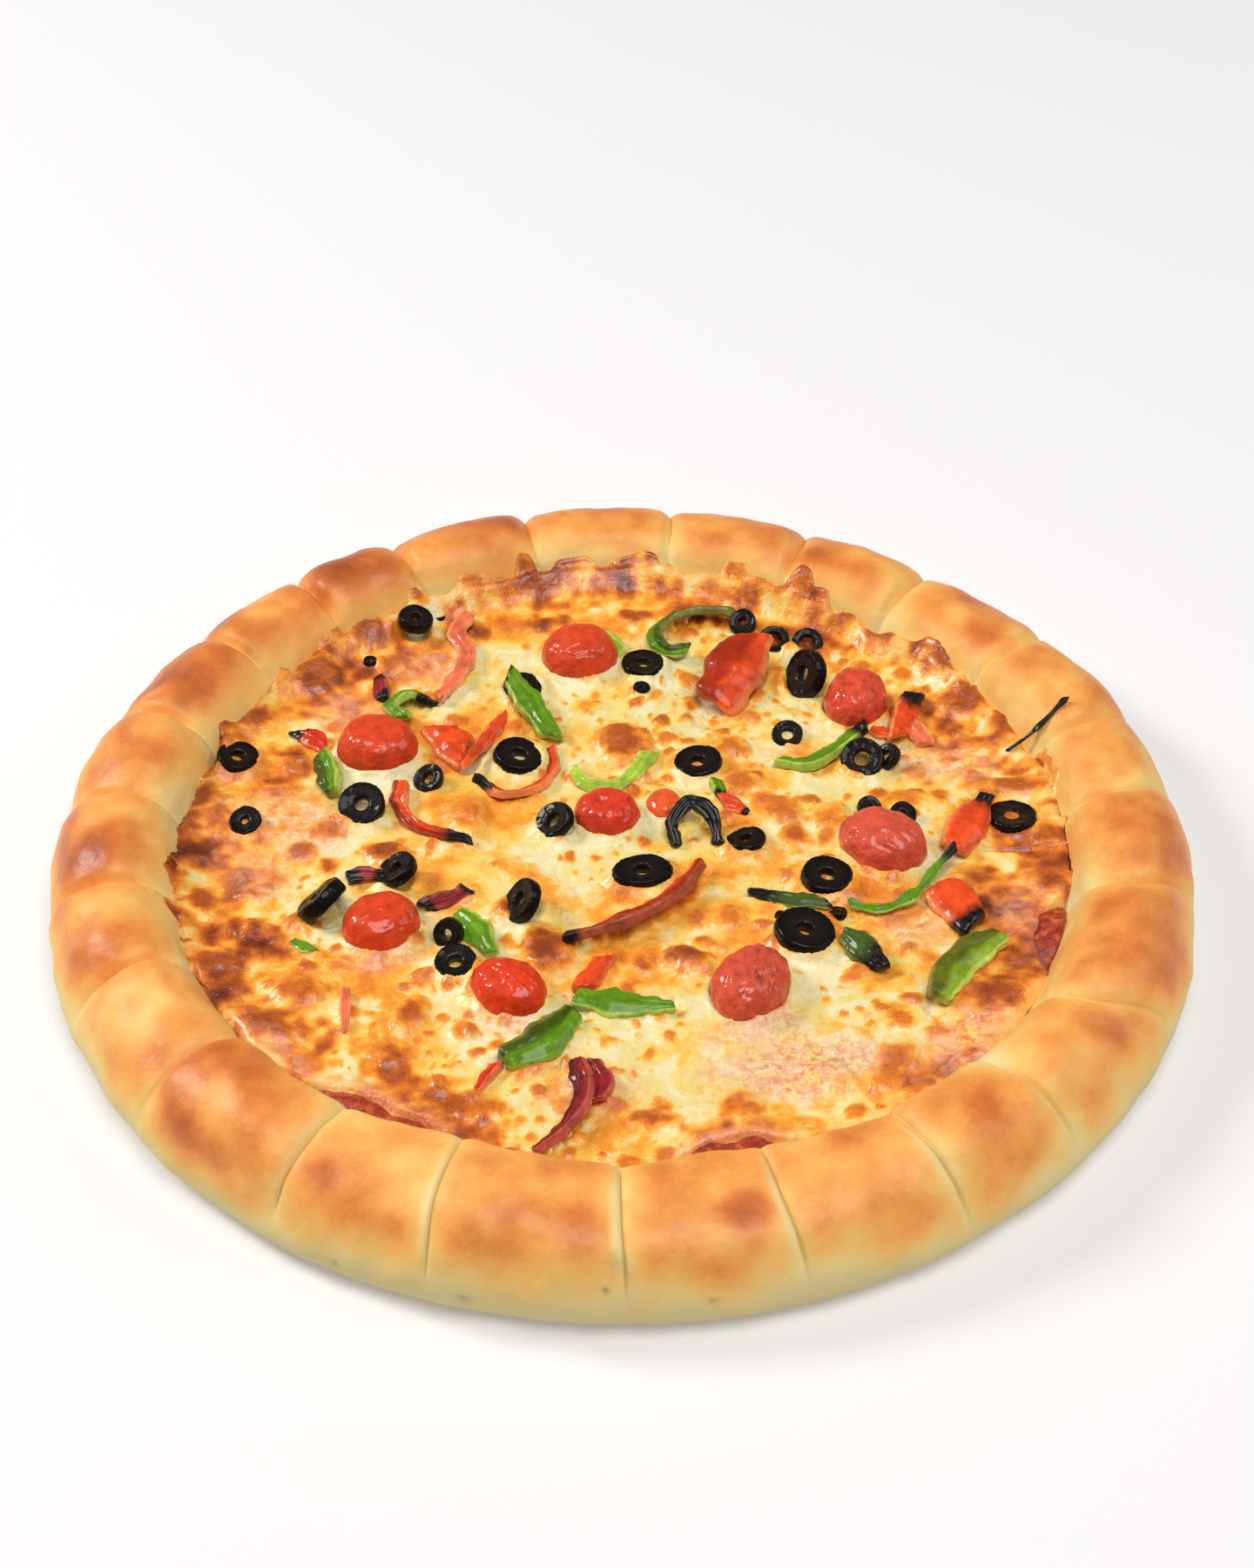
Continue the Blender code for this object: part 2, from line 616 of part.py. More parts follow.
def olive_shape(long, wide, hole, thickness):
    """A slice of olive: a ring with sloping outer walls."""
    half = thickness / 2
    points = []
    rings = []
    for out, rise in OLIVE_SECTION:
        ring = []
        for side in range(OLIVE_SIDES):
            x, y = polar(1.0, math.tau * side / OLIVE_SIDES)
            ring.append(len(points))
            points.append(Vector((
                x * (hole + (long - hole) * out),
                y * (hole + (wide - hole) * out),
                rise * half,
            )))
        rings.append(ring)
    faces = []
    for index, ring in enumerate(rings):
        faces += ring_strip(ring, rings[(index + 1) % len(rings)])
    return points, faces


def strip_shape(route, widths, thickness, roll):
    """A strip of pepper wall swept along its route, tapered and slightly arched."""
    track = route_points(route, STRIP_SECTIONS_PER_SPAN)
    middle = sum(track, Vector()) / len(track)
    points = []
    rings = []
    for index, centre in enumerate(track):
        before = track[max(0, index - 1)]
        after = track[min(len(track) - 1, index + 1)]
        along = (after - before).normalized()
        side = Vector((0, 0, 1)).cross(along).normalized()
        up = along.cross(side)
        spin = Matrix.Rotation(math.radians(roll), 3, along)
        side, up = spin @ side, spin @ up
        share = 2 * index / (len(track) - 1)
        half = widths[0] + (widths[1] - widths[0]) * smooth(0, 1, share)
        half += (widths[2] - widths[1]) * smooth(1, 2, share)
        arch = half * ARCH * min(1.0, half / WIDE_STRIP)
        ring = []
        for across, rise in (
            (-1.0, 0.0), (0.0, arch), (1.0, 0.0),
            (1.0, thickness), (0.0, thickness + arch), (-1.0, thickness),
        ):
            ring.append(len(points))
            points.append(centre - middle + side * across * half + up * rise)
        rings.append(ring)
    faces = [tuple(rings[0]), tuple(reversed(rings[-1]))]
    for lower, upper in zip(rings, rings[1:]):
        faces += ring_strip(lower, upper)
    return points, faces, (middle.x, middle.y)


def lay_peppers(kind, rows, material, parent, pile):
    for number, (route, widths, thickness, roll) in enumerate(rows, 1):
        points, faces, place = strip_shape(route, widths, thickness, roll)
        drop(f"{kind}_{number}", points, faces, place, Euler(), material, parent, pile)


def lay_olives(material, parent, pile):
    for number, (x, y, radius, hole, thickness, lean, towards) in enumerate(OLIVES, 1):
        points, faces = olive_shape(radius, radius, hole, thickness)
        turn = Euler((0, math.radians(lean), math.radians(towards)))
        drop(f"olive_{number}", points, faces, (x, y), turn, material, parent, pile)
    x, y, long, wide, hole, thickness, towards = LONG_OLIVE
    points, faces = olive_shape(long, wide, hole, thickness)
    turn = Euler((0, 0, math.radians(towards)))
    drop("olive_long", points, faces, (x, y), turn, material, parent, pile)


def lay_tomatoes(material, parent, pile):
    for number, (x, y, long, wide, height, turn, lean) in enumerate(TOMATOES, 1):
        points, faces = dome_shape(long, wide, height)
        spin = Euler((math.radians(lean), 0, math.radians(turn)))
        drop(f"tomato_{number}", points, faces, (x, y), spin, material, parent, pile)


def main():
    clear_scene()
    materials = {name: make_material(name) for name in FINISHES}
    pizza = bpy.data.objects.new("pizza", None)
    bpy.context.scene.collection.objects.link(pizza)
    crust = Crust()
    pile = Pile()
    pile.add(crust.build(materials["baked_dough"], pizza))
    build_sauce(crust, materials["sauce"], pizza)
    pile.add(build_cheese(crust, materials["melted_cheese"], pizza))
    lay_olives(materials["olive_skin"], pizza, pile)
    lay_tomatoes(materials["tomato_skin"], pizza, pile)
    lay_peppers("red_pepper", RED_PEPPERS, materials["red_pepper_skin"], pizza, pile)
    lay_peppers("green_pepper", GREEN_PEPPERS, materials["green_pepper_skin"], pizza, pile)


main()
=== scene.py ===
import math
import random

import bmesh
import bpy
import numpy as np
from mathutils import Euler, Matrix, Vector
from mathutils import noise as lattice_noise
from mathutils.bvhtree import BVHTree


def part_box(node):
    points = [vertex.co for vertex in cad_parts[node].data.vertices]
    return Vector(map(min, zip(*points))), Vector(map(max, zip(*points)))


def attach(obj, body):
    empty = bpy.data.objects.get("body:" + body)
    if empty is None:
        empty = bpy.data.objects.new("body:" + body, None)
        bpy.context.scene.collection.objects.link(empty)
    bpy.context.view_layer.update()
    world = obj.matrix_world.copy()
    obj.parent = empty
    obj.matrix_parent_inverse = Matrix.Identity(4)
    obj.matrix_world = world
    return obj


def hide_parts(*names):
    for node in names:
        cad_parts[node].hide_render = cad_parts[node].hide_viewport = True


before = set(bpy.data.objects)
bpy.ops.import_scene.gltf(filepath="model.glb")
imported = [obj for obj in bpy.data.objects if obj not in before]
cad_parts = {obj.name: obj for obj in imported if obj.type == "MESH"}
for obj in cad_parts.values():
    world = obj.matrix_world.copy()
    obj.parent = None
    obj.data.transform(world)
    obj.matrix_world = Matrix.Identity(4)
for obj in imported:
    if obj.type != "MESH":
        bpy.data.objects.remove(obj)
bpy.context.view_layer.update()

MM = 0.001

# Named values of the solids; only the bands of sauce differ a little from theirs
# Where the rim is pressed down, from the front on round
FOLD_ANGLES = (
    270, 286, 302, 316, 332, 351, 366, 378, 394, 411, 427, 444,
    462, 479, 492, 506, 521, 535, 550, 564, 579, 597, 612,
)
FLOOR_TOP = 9.0
# Section of the rim from its inner foot over the crown to the underside: radius, height
CRUST_SECTION = (
    (134.0, FLOOR_TOP), (135.6, 14.0), (137.6, 19.5), (140.4, 25.2), (145.0, 29.8),
    (152.0, 32.3), (160.5, 31.0), (167.2, 26.8), (172.0, 20.3), (174.8, 12.5),
    (174.0, 5.0), (168.0, 0.0),
)
# Depth of a fold at each point of the section
FOLD_DEPTH = (0.0, 0.6, 1.4, 2.6, 4.4, 5.2, 5.0, 3.8, 2.0, 0.7, 0.0, 0.0)
ROLL_CENTRE = (155.0, 13.0)
LOBE_UNEVEN = 1.3
CROWN_SHARE = 0.25
CREASE_SHARE = 0.4
CREASE_START = 0.86
# Where the rim is drawn in: middle, half width, amount
DRAWN_IN = ((58, 40, 4.8), (116, 34, 3.0))
# How far the inner face leans in at the front: angle, amount; then its share at each point
FRONT_BULGE = (
    (222, 0.0), (234, 3.5), (243, 8.5), (249, 10.0), (256, 8.0), (262, 5.5), (270, 6.0),
    (279, 8.0), (288, 7.5), (300, 6.0), (312, 4.0), (326, 1.5), (340, 0.0),
)
BULGE_SHARES = (0.0, 0.1, 0.3, 0.6, 0.9, 0.5, 0.1, 0.0, 0.0, 0.0, 0.0, 0.0)
SAUCE_TOP = 10.4
SAUCE_LIP = 5.4
# Bands of free sauce: first angle, last angle, width
SAUCE_BANDS = ((221, 258, 5.5), (272, 296, 8.5), (335, 353, 2.5))
BAND_FADE = 0.4
CHEESE_TOP = 16.2
# Gentle rolls of the cheese: size, height
CHEESE_ROLLS = ((21, 0.9), (8, 0.4))
CHEESE_FILLET = 9.0
CLIMB = 10.0
CLIMB_UNEVEN = 2.0
CLIMB_AT_BACK = 4.0
CLIMB_LIMIT = 18.5
# Tomato halves: x, y, half length, half width, height, turn, lean
TOMATOES = (
    (-78, 45, 13.0, 12.0, 12.5, 0, 4),
    (-14, 92, 12.8, 11.8, 12.5, 10, 4),
    (-5, 13, 10.3, 9.8, 10.5, 0, 0),
    (-72, -36, 12.0, 10.6, 11.0, 25, 8),
    (-33, -63, 12.5, 9.8, 11.5, -38, 4),
    (37, -62, 14.5, 11.2, 12.5, 62, 6),
    (80, -1, 14.2, 11.6, 13.0, -30, 6),
    (75, 67, 12.5, 10.2, 14.0, 76, 8),
    (13, 18, 7.0, 6.0, 7.0, 90, 0),
)
DOME_SECTION = ((0.90, 0.0), (1.0, 0.22), (0.90, 0.58), (0.62, 0.86))
# Olive slices: x, y, radius, hole radius, thickness, lean, direction of the lean
OLIVES = (
    (-69, 107, 5.8, 1.6, 4.0, 8, 0),
    (7, 88, 7.3, 2.3, 3.6, 6, 60),
    (-32, 76, 7.0, 2.2, 3.6, 10, 20),
    (-33, 41, 8.0, 2.4, 4.2, 10, 0),
    (-81, 16, 7.4, 2.2, 4.4, 26, 250),
    (-122, 40, 6.8, 2.2, 3.2, 12, 0),
    (24, 38, 7.7, 2.2, 4.2, 6, 180),
    (50.5, 99.5, 5.2, 2.8, 3.2, 20, 275),
    (61.5, 98, 5.4, 2.7, 3.2, 26, 262),
    (60, 78, 8.2, 2.2, 4.6, 60, 205),
    (76, 38, 7.0, 2.6, 3.4, 30, 250),
    (-21, 9, 6.6, 2.3, 3.6, 34, 200),
    (62, -15, 8.0, 2.3, 4.2, 4, 0),
    (54, -39.5, 9.2, 2.4, 4.8, 8, 0),
    (38, 2, 6.4, 1.9, 3.6, 12, 120),
    (-90, -28, 8.2, 2.0, 5.0, 48, 150),
    (-68, -14, 6.2, 2.0, 3.8, 30, 180),
    (-49, -52, 6.4, 2.0, 3.8, 12, 250),
    (-30, -28, 7.2, 2.2, 3.8, 48, 190),
)
# The lengthwise half: x, y, half length, half width, hole radius, thickness, turn
LONG_OLIVE = (6, -13, 9.6, 6.4, 2.0, 4.8, 8)
OLIVE_SECTION = ((1.0, 0.0), (0.80, 1.0), (0.0, 0.8), (0.0, -0.8), (0.80, -1.0))
# Pepper strips: route with its heights, half widths, thickness, roll
GREEN_PEPPERS = (
    (((-37, 77, 5), (-30, 66, 2), (-22, 50, 0)), (3.6, 4.2, 3.4), 3.0, 10),
    (((-63, 67, 0), (-69, 71, 0), (-74, 66, 0), (-70, 60, 0)), (2.4, 2.8, 2.4), 3.0, 35),
    (((-95, 41, 0), (-92, 32, 0), (-90, 23, 0)), (2.6, 3.8, 2.2), 3.4, 25),
    (((-15, 35, 0), (-11, 28, 0), (-3, 27, 0), (4, 35, 0), (8, 43, 0)), (2.0, 2.5, 2.8), 2.8, 20),
    (((38, 113, 0), (21, 112, 0), (12, 102, 0), (15, 94, 0), (22, 95, 0)), (2.0, 3.0, 2.0), 2.8, 40),
    (((79, 53, 3), (74, 49, 1), (60, 37, 0), (49, 38, 0)), (2.2, 2.6, 1.6), 2.8, 20),
    (((38, -21, 0), (51, -25, 0), (63, -27, 0)), (1.6, 2.8, 2.0), 2.4, 12),
    (((68, -27, 0), (77, -29, 0), (87, -24, 1), (95, -14, 3), (101, -6, 4)), (1.4, 1.8, 1.2), 2.2, 25),
    (((91, -67, 0), (98, -53, 0), (112, -41, 0)), (3.6, 5.4, 3.0), 3.6, 15),
    (((-14, -66, 0), (0, -69, 0), (15, -69, 0)), (2.6, 4.6, 2.0), 2.8, 10),
    (((-34, -91, 0), (-23, -84, 0), (-14, -72, 0)), (3.6, 5.8, 2.8), 3.0, 12),
    (((-49, -31, 0), (-43, -39, 0), (-38, -48, 0)), (2.6, 4.2, 2.6), 2.8, 12),
    (((66, -40, 0), (71, -46, 0), (77, -54, 0)), (2.2, 4.2, 3.0), 3.0, 24),
)
RED_PEPPERS = (
    (((44, 95, 6), (37, 82, 3), (30, 66, 0)), (6.0, 10.5, 7.5), 3.2, -12),
    (((-59, 55, 0), (-54, 47, 0), (-50, 40, 0)), (5.5, 6.6, 4.0), 3.0, 12),
    (((-51, 33, 0), (-44, 46, 0), (-38, 59, 0)), (1.6, 2.4, 1.6), 2.6, 30),
    (((-51, 114, 0), (-55, 104, 0), (-51, 93, 0), (-54, 81, 0), (-60, 70, 0)), (2.2, 3.0, 2.2), 2.6, 10),
    (((-22, 46, 0), (-21, 36, 0), (-27, 26, 0), (-38, 23, 0), (-46, 31, 0)), (1.8, 2.2, 1.6), 2.4, 35),
    (((-69, 29, 0), (-69, 18, 0), (-62, 8, 0), (-46, 2, 0)), (2.2, 2.8, 1.4), 2.4, 25),
    (((25, -10, 0), (16, -25, 0), (0, -37, 0), (-17, -44, 0)), (2.2, 4.2, 2.4), 3.0, 35),
    (((-11, -62, 0), (-8, -56, 0), (-5, -49, 0)), (3.2, 3.8, 3.4), 2.8, 5),
    (((101, -3, 0), (106, 7, 0), (114, 22, 0)), (5.0, 6.4, 2.0), 3.0, 12),
    (((95, -20, 0), (100, -27, 0), (105, -37, 0)), (5.0, 6.8, 4.6), 3.0, 10),
    (((87, 50, 0), (90, 60, 0), (94, 71, 0)), (3.2, 4.0, 2.6), 3.0, 25),
    (((-60, -27, 0), (-54, -24, 0), (-47, -19, 0)), (2.2, 3.2, 2.2), 2.6, 30),
    (((-12, -92, 0), (-10, -105, 0), (-15, -117, 0), (-24, -127, 0)), (2.6, 2.8, 1.8), 2.8, 30),
    (((16, 0, 0), (15, 7, 4), (21, 13, 7), (28, 9, 4), (30, 1, 0)), (2.2, 2.4, 2.0), 2.6, 25),
)
STRIP_SPAN = 3
ARCH = 0.42
WIDE_STRIP = 10.0
TOMATO_SEAT_DEPTH = 2.2
OLIVE_SEAT_DEPTH = 1.8
STRIP_SEAT_DEPTH = 1.3

# Length of char at each strip's start and end, its look, and the side that is in shade
GREEN_LOOKS = (
    (2, 0, "green", 0), (6, 0, "green", 0), (0, 0, "green", -1), (0, 0, "lime", 0), (0, 0, "green", 1),
    (8, 0, "green", 0), (12, 3, "dark", 0), (0, 10, "green", 0), (0, 0, "fresh", 1), (0, 0, "green", 0),
    (0, 0, "green", 1), (0, 0, "green", 0), (0, 9, "dark", 0),
)
RED_LOOKS = (
    (0, 0, "orange", -1), (0, 0, "orange", 0), (0, 0, "orange", 0), (0, 0, "faded", 0),
    (0, 10, "orange", -1), (0, 12, "orange", -1), (0, 5, "orange", 1), (0, 0, "orange", 0),
    (0, 9, "orange", 0), (0, 6, "orange", 0), (0, 9, "orange", 0), (3, 3, "wine", 0),
    (0, 0, "wine", -1), (30, 30, "black", 0),
)
# Linear colours of skin and flesh
LOOK_COLOURS = {
    "green": ((0.115, 0.255, 0.006), (0.42, 0.56, 0.08)),
    "fresh": ((0.24, 0.38, 0.012), (0.58, 0.66, 0.12)),
    "lime": ((0.38, 0.54, 0.04), (0.58, 0.68, 0.18)),
    "dark": ((0.055, 0.095, 0.012), (0.20, 0.25, 0.05)),
    "red": ((0.62, 0.035, 0.012), (0.90, 0.20, 0.08)),
    "orange": ((0.76, 0.072, 0.012), (0.88, 0.26, 0.08)),
    "faded": ((0.78, 0.16, 0.07), (0.90, 0.36, 0.17)),
    "wine": ((0.26, 0.018, 0.02), (0.50, 0.09, 0.06)),
    "black": ((0.020, 0.008, 0.010), (0.12, 0.012, 0.010)),
    "olive": ((0.003, 0.0028, 0.0026), (0.013, 0.008, 0.006)),
}
CHAR = (0.008, 0.006, 0.005)

# Browned blisters: x, y, half length, half width, turn, rise, toast
BLISTERS = (
    (0, 49, 9, 10, 0, 2.4, 0.88), (51, 82, 4, 8, 0, 1.5, 0.62), (36, 47, 6, 5, 0, 1.8, 0.66),
    (38, 29, 6.5, 6, 0, 1.8, 0.70), (48, 17, 7.5, 8, 20, 2.2, 0.68), (65, 14, 7, 8, 0, 2.0, 0.62),
    (53, 4, 4, 4, 0, 1.2, 0.80), (32, -31, 6, 4.5, 10, 1.6, 0.68), (19, -49, 8, 5, -8, 2.4, 0.95),
    (6, -51, 4.5, 3.6, 0, 1.4, 0.86), (-23, -45, 7.5, 9, 0, 3.8, 1.0), (-34, -41, 3.6, 3.4, 0, 1.0, 0.62),
    (-36, -28, 3.6, 4.2, 0, 1.2, 0.85), (-48, 15, 7.2, 11, 0, 2.6, 0.60), (-73, -3, 7, 4.8, 0, 1.8, 0.92),
    (-99, -2, 5, 5, 0, 1.5, 0.90), (-91, 8, 6, 5, 30, 1.4, 0.80), (-90, -9, 3.6, 5, 0, 1.0, 0.78),
    (-131, 22, 6, 8, -20, 2.2, 0.98), (-136, 11, 8, 5, 15, 2.2, 1.0), (-127, 12, 5, 6, 0, 1.6, 0.86),
    (-120, -50, 10, 8, 35, 2.0, 0.92), (-116, -60, 6, 7, 0, 1.8, 0.88), (-104, -76, 9, 7, -30, 2.0, 0.95),
    (-94, -63, 7.4, 6, 0, 1.6, 0.80), (-62, -71, 5.4, 7.4, 0, 1.6, 0.86), (-68, -86, 5.6, 5.6, 0, 1.2, 0.78),
    (-77, 89, 5.4, 5.4, 0, 1.4, 0.72), (-101, 83, 9, 8, 20, 2.2, 0.92), (-85, 104, 8, 7, 0, 2.2, 0.90),
    (-119, 60, 10, 7, 25, 2.0, 0.86), (-126, 47, 5, 5, 0, 1.4, 0.75), (111, 69, 9, 9, 0, 2.4, 0.94),
    (104, 87, 5, 8, 30, 1.6, 0.92), (115, 93, 5, 5, 0, 1.2, 0.80), (123, 58, 5.5, 11, -12, 2.0, 0.95),
    (86, 101, 7, 8, 0, 2.2, 0.86), (122, 29, 14, 4, 5, 1.8, 0.78), (132, 5, 6.5, 7, 0, 1.8, 0.86),
    (143, 12, 5.5, 6, 0, 1.0, 0.70), (129, -13, 7.5, 8, 0, 1.6, 0.84), (108, -64, 13, 8, 20, 2.2, 0.95),
    (57, -96, 8, 6, 0, 1.8, 0.72), (76, -92, 6, 12, -30, 1.8, 0.76), (11, 73, 3.6, 3.6, 0, 0.8, 0.55),
    (-26, -15, 22, 5, -40, 0.8, 0.50), (-60, 92, 5, 3.5, 0, 1.0, 0.80), (-30, 112, 8, 4, 10, 1.2, 0.86),
    (6, 116, 7, 4, 0, 1.2, 0.90), (-47, 66, 6, 3, 20, 0.8, 0.60), (-12, 68, 6, 4, 0, 0.8, 0.50),
    (-60, -58, 4, 6, 0, 0.9, 0.60), (-84, -52, 5, 4, 0, 0.9, 0.66), (-46, -78, 5, 4, 20, 0.9, 0.62),
    (100, -88, 7, 4, 30, 1.2, 0.80), (89, -78, 4, 3, 0, 0.8, 0.7), (118, -45, 4, 6, 10, 1.0, 0.7),
    (44, -28, 5, 3, 15, 0.8, 0.56), (28, -43, 5, 3, 20, 0.8, 0.50), (22, -16, 5, 5, 0, 0.9, 0.55),
    (34, -12, 7, 3, 10, 0.9, 0.55), (88, 22, 8, 5, 0, 1.2, 0.66), (92, 34, 5, 4, 0, 1.0, 0.60),
    (33, 62, 3, 3, 0, 0.6, 0.4), (55, 64, 3, 3, 0, 0.6, 0.35), (-108, 26, 6, 4, 10, 1.2, 0.75),
    (-104, 40, 5, 4, 0, 1.0, 0.7), (-112, -20, 6, 5, 0, 1.2, 0.8), (-126, -24, 5, 7, 0, 1.4, 0.9),
    (-134, -34, 5, 5, 0, 1.2, 0.9), (-110, -36, 5, 4, 0, 1.0, 0.7), (-14, -104, 7, 4, 5, 1.0, 0.7),
    (-40, -108, 8, 4, 10, 1.2, 0.8), (10, -112, 8, 4, 0, 1.2, 0.8), (32, -108, 8, 5, 10, 1.0, 0.75),
)
# Places where the sauce or tomato pulp shows through: x, y, half length, half width, turn, amount
REDDISH = (
    (98, -84, 20, 12, 35, 0.9), (62, -88, 16, 10, 0, 0.7), (44, -88, 12, 10, 0, 0.6),
    (-104, 12, 22, 14, 0, 0.6), (-112, -10, 14, 12, 0, 0.5), (104, 40, 20, 10, 0, 0.65),
    (-64, 88, 12, 12, 0, 0.6), (-88, 66, 12, 10, 0, 0.5), (88, -34, 12, 12, 0, 0.5),
    (122, -30, 10, 14, 0, 0.6), (-72, -48, 14, 6, 10, 0.5), (-33, -75, 14, 5, -20, 0.6),
    (37, -76, 16, 7, 20, 0.8), (46, -92, 24, 13, 10, 0.9), (-10, -100, 20, 10, 0, 0.4),
    (-100, -88, 14, 8, -30, 0.6), (52, 46, 8, 4, 0, 0.3), (33, 70, 14, 5, -40, 0.45),
    (128, -50, 6, 10, 0, 0.8),
)

# Knobs where the cheese's edge climbs the rim: angle, reach, half width in degrees
EDGE_REACH = (
    (103.7, 9, 1.3), (97, 3.5, 2.6), (88, 3, 3.0), (73.6, 6, 1.7), (63.7, 9, 1.5), (60.2, 6, 1.2),
    (55.0, 4.5, 1.2), (67, 4, 4.5), (112, 3.5, 2.2), (120, 4, 1.6), (133, 2.5, 4.0), (145, 3.5, 1.6),
    (158, 3.5, 2.0), (187, 4, 2.4), (193, 4.5, 1.2), (205, 2, 2.5),
    (14, 3.5, 3.4), (41, 2.5, 2.6), (357, 2, 2.5),
)


def smooth(low, high, value):
    t = np.clip((value - low) / (high - low), 0.0, 1.0)
    return t * t * (3 - 2 * t)


# Large odd factors that scramble the bits of a whole number
HASH_FACTORS = (374761393, 668265263, 362437, 974711)
HASH_MIXER = 1274126177
WORD = 0xFFFFFFFF
HALF_WORD = 0xFFFF


def corner(ix, iy, iz, seed):
    """A steady number from -1 to 1 for each corner of a lattice."""
    mixed = sum(place * factor for place, factor in zip((ix, iy, iz, seed), HASH_FACTORS)) & WORD
    mixed = ((mixed ^ (mixed >> 13)) * HASH_MIXER) & WORD
    return ((mixed ^ (mixed >> 16)) & HALF_WORD) / (HALF_WORD / 2) - 1.0


def noise(x, y, z, size, seed=0):
    """Smooth noise from -1 to 1, with a grain of that size."""
    places = [np.asarray(a, float) / size for a in (x, y, z)]
    cells = [np.floor(a).astype(np.int64) for a in places]
    shares = [a - c for a, c in zip(places, cells)]
    shares = [f * f * (3 - 2 * f) for f in shares]
    total = 0.0
    for dx in (0, 1):
        for dy in (0, 1):
            for dz in (0, 1):
                weight = 1.0
                for f, d in zip(shares, (dx, dy, dz)):
                    weight = weight * (f if d else 1 - f)
                total = total + weight * corner(cells[0] + dx, cells[1] + dy, cells[2] + dz, seed)
    return total


def fractal(x, y, z, size, octaves, seed=0):
    total, strength = 0.0, 1.0
    for octave in range(octaves):
        total = total + strength * noise(x, y, z, size / 2 ** octave, seed + octave)
        strength *= 0.5
    return total / (2 - 2 ** (1 - octaves))


def spline(knots, t):
    """Values of a smooth curve through the knots; t counts knots from the first."""
    knots = np.asarray(knots, float)
    padded = np.concatenate([[2 * knots[0] - knots[1]], knots, [2 * knots[-1] - knots[-2]]])
    i = np.minimum(t.astype(int), len(knots) - 2)
    f = (t - i)[:, None]
    a, b, c, d = padded[i], padded[i + 1], padded[i + 2], padded[i + 3]
    return 0.5 * (
        2 * b + (c - a) * f + (2 * a - 5 * b + 4 * c - d) * f ** 2
        + (3 * b - a - 3 * c + d) * f ** 3
    )


def ring_faces(rows, columns):
    """Quads of a tube that has rows of points, with columns of them round each."""
    i = np.arange(rows - 1)[:, None] * columns
    j = np.arange(columns)[None, :]
    after = (j + 1) % columns
    return np.stack([i + j, i + after, i + columns + after, i + columns + j], -1).reshape(-1, 4).tolist()


def capped(rows, columns):
    """The quads of a tube and a face over each of its ends."""
    last = (rows - 1) * columns
    return ring_faces(rows, columns) + [list(range(columns)), list(range(last, last + columns))]


def looped(rows, columns):
    """The quads of a ring whose last row of points joins its first."""
    last = (rows - 1) * columns
    return ring_faces(rows, columns) + [
        [last + j, last + (j + 1) % columns, (j + 1) % columns, j] for j in range(columns)
    ]


def degrees_apart(a, b):
    return np.abs((a - b + 180) % 360 - 180)


# Materials

class Graph:
    """A material's shader nodes, made and joined by short calls."""

    def __init__(self, name, **settings):
        self.material = bpy.data.materials.new(name)
        self.material.use_nodes = True
        self.nodes = self.material.node_tree.nodes
        self.links = self.material.node_tree.links
        self.shader = self.nodes["Principled BSDF"]
        for key, value in settings.items():
            self.shader.inputs[key.replace("_", " ")].default_value = value
        self.place = self.nodes.new("ShaderNodeTexCoord").outputs["Object"]

    def put(self, socket, value):
        if isinstance(value, bpy.types.NodeSocket):
            self.links.new(value, socket)
        else:
            socket.default_value = value

    def field(self, name):
        node = self.nodes.new("ShaderNodeAttribute")
        node.attribute_name = name
        return node.outputs["Fac"]

    def paint(self, name):
        node = self.nodes.new("ShaderNodeAttribute")
        node.attribute_name = name
        return node.outputs["Color"]

    def grain(self, size, detail=3.0, rough=0.55, twist=0.0):
        """Noise round 0.5 with a grain of that many millimetres."""
        node = self.nodes.new("ShaderNodeTexNoise")
        self.links.new(self.place, node.inputs["Vector"])
        node.inputs["Scale"].default_value = 1 / (size * MM)
        node.inputs["Detail"].default_value = detail
        node.inputs["Roughness"].default_value = rough
        node.inputs["Distortion"].default_value = twist
        return node.outputs["Fac"]

    def cells(self, size):
        node = self.nodes.new("ShaderNodeTexVoronoi")
        self.links.new(self.place, node.inputs["Vector"])
        node.inputs["Scale"].default_value = 1 / (size * MM)
        return node.outputs["Distance"]

    def math(self, kind, a, b=0.0, c=0.0):
        node = self.nodes.new("ShaderNodeMath")
        node.operation = kind
        for socket, value in zip(node.inputs, (a, b, c)):
            self.put(socket, value)
        return node.outputs[0]

    def ramp(self, value, *stops):
        node = self.nodes.new("ShaderNodeValToRGB")
        self.links.new(value, node.inputs["Fac"])
        band = node.color_ramp.elements
        while len(band) < len(stops):
            band.new(0.5)
        for element, (place, colour) in zip(band, stops):
            element.position = place
            element.color = (*colour, 1.0) if isinstance(colour, tuple) else (colour,) * 3 + (1.0,)
        return node.outputs["Color"]

    def mix(self, share, a, b, kind="MIX"):
        node = self.nodes.new("ShaderNodeMix")
        node.data_type = "RGBA"
        node.blend_type = kind
        self.put(node.inputs[0], share)
        for socket, value in ((node.inputs[6], a), (node.inputs[7], b)):
            self.put(socket, (*value, 1.0) if isinstance(value, tuple) else value)
        return node.outputs[2]

    def bump(self, height, distance, strength=1.0, under=None):
        node = self.nodes.new("ShaderNodeBump")
        node.inputs["Distance"].default_value = distance * MM
        node.inputs["Strength"].default_value = strength
        self.links.new(height, node.inputs["Height"])
        if under:
            self.links.new(under, node.inputs["Normal"])
        return node.outputs["Normal"]

    def finish(self, colour, rough, normal):
        self.put(self.shader.inputs["Base Color"], colour)
        self.put(self.shader.inputs["Roughness"], rough)
        self.links.new(normal, self.shader.inputs["Normal"])
        return self.material


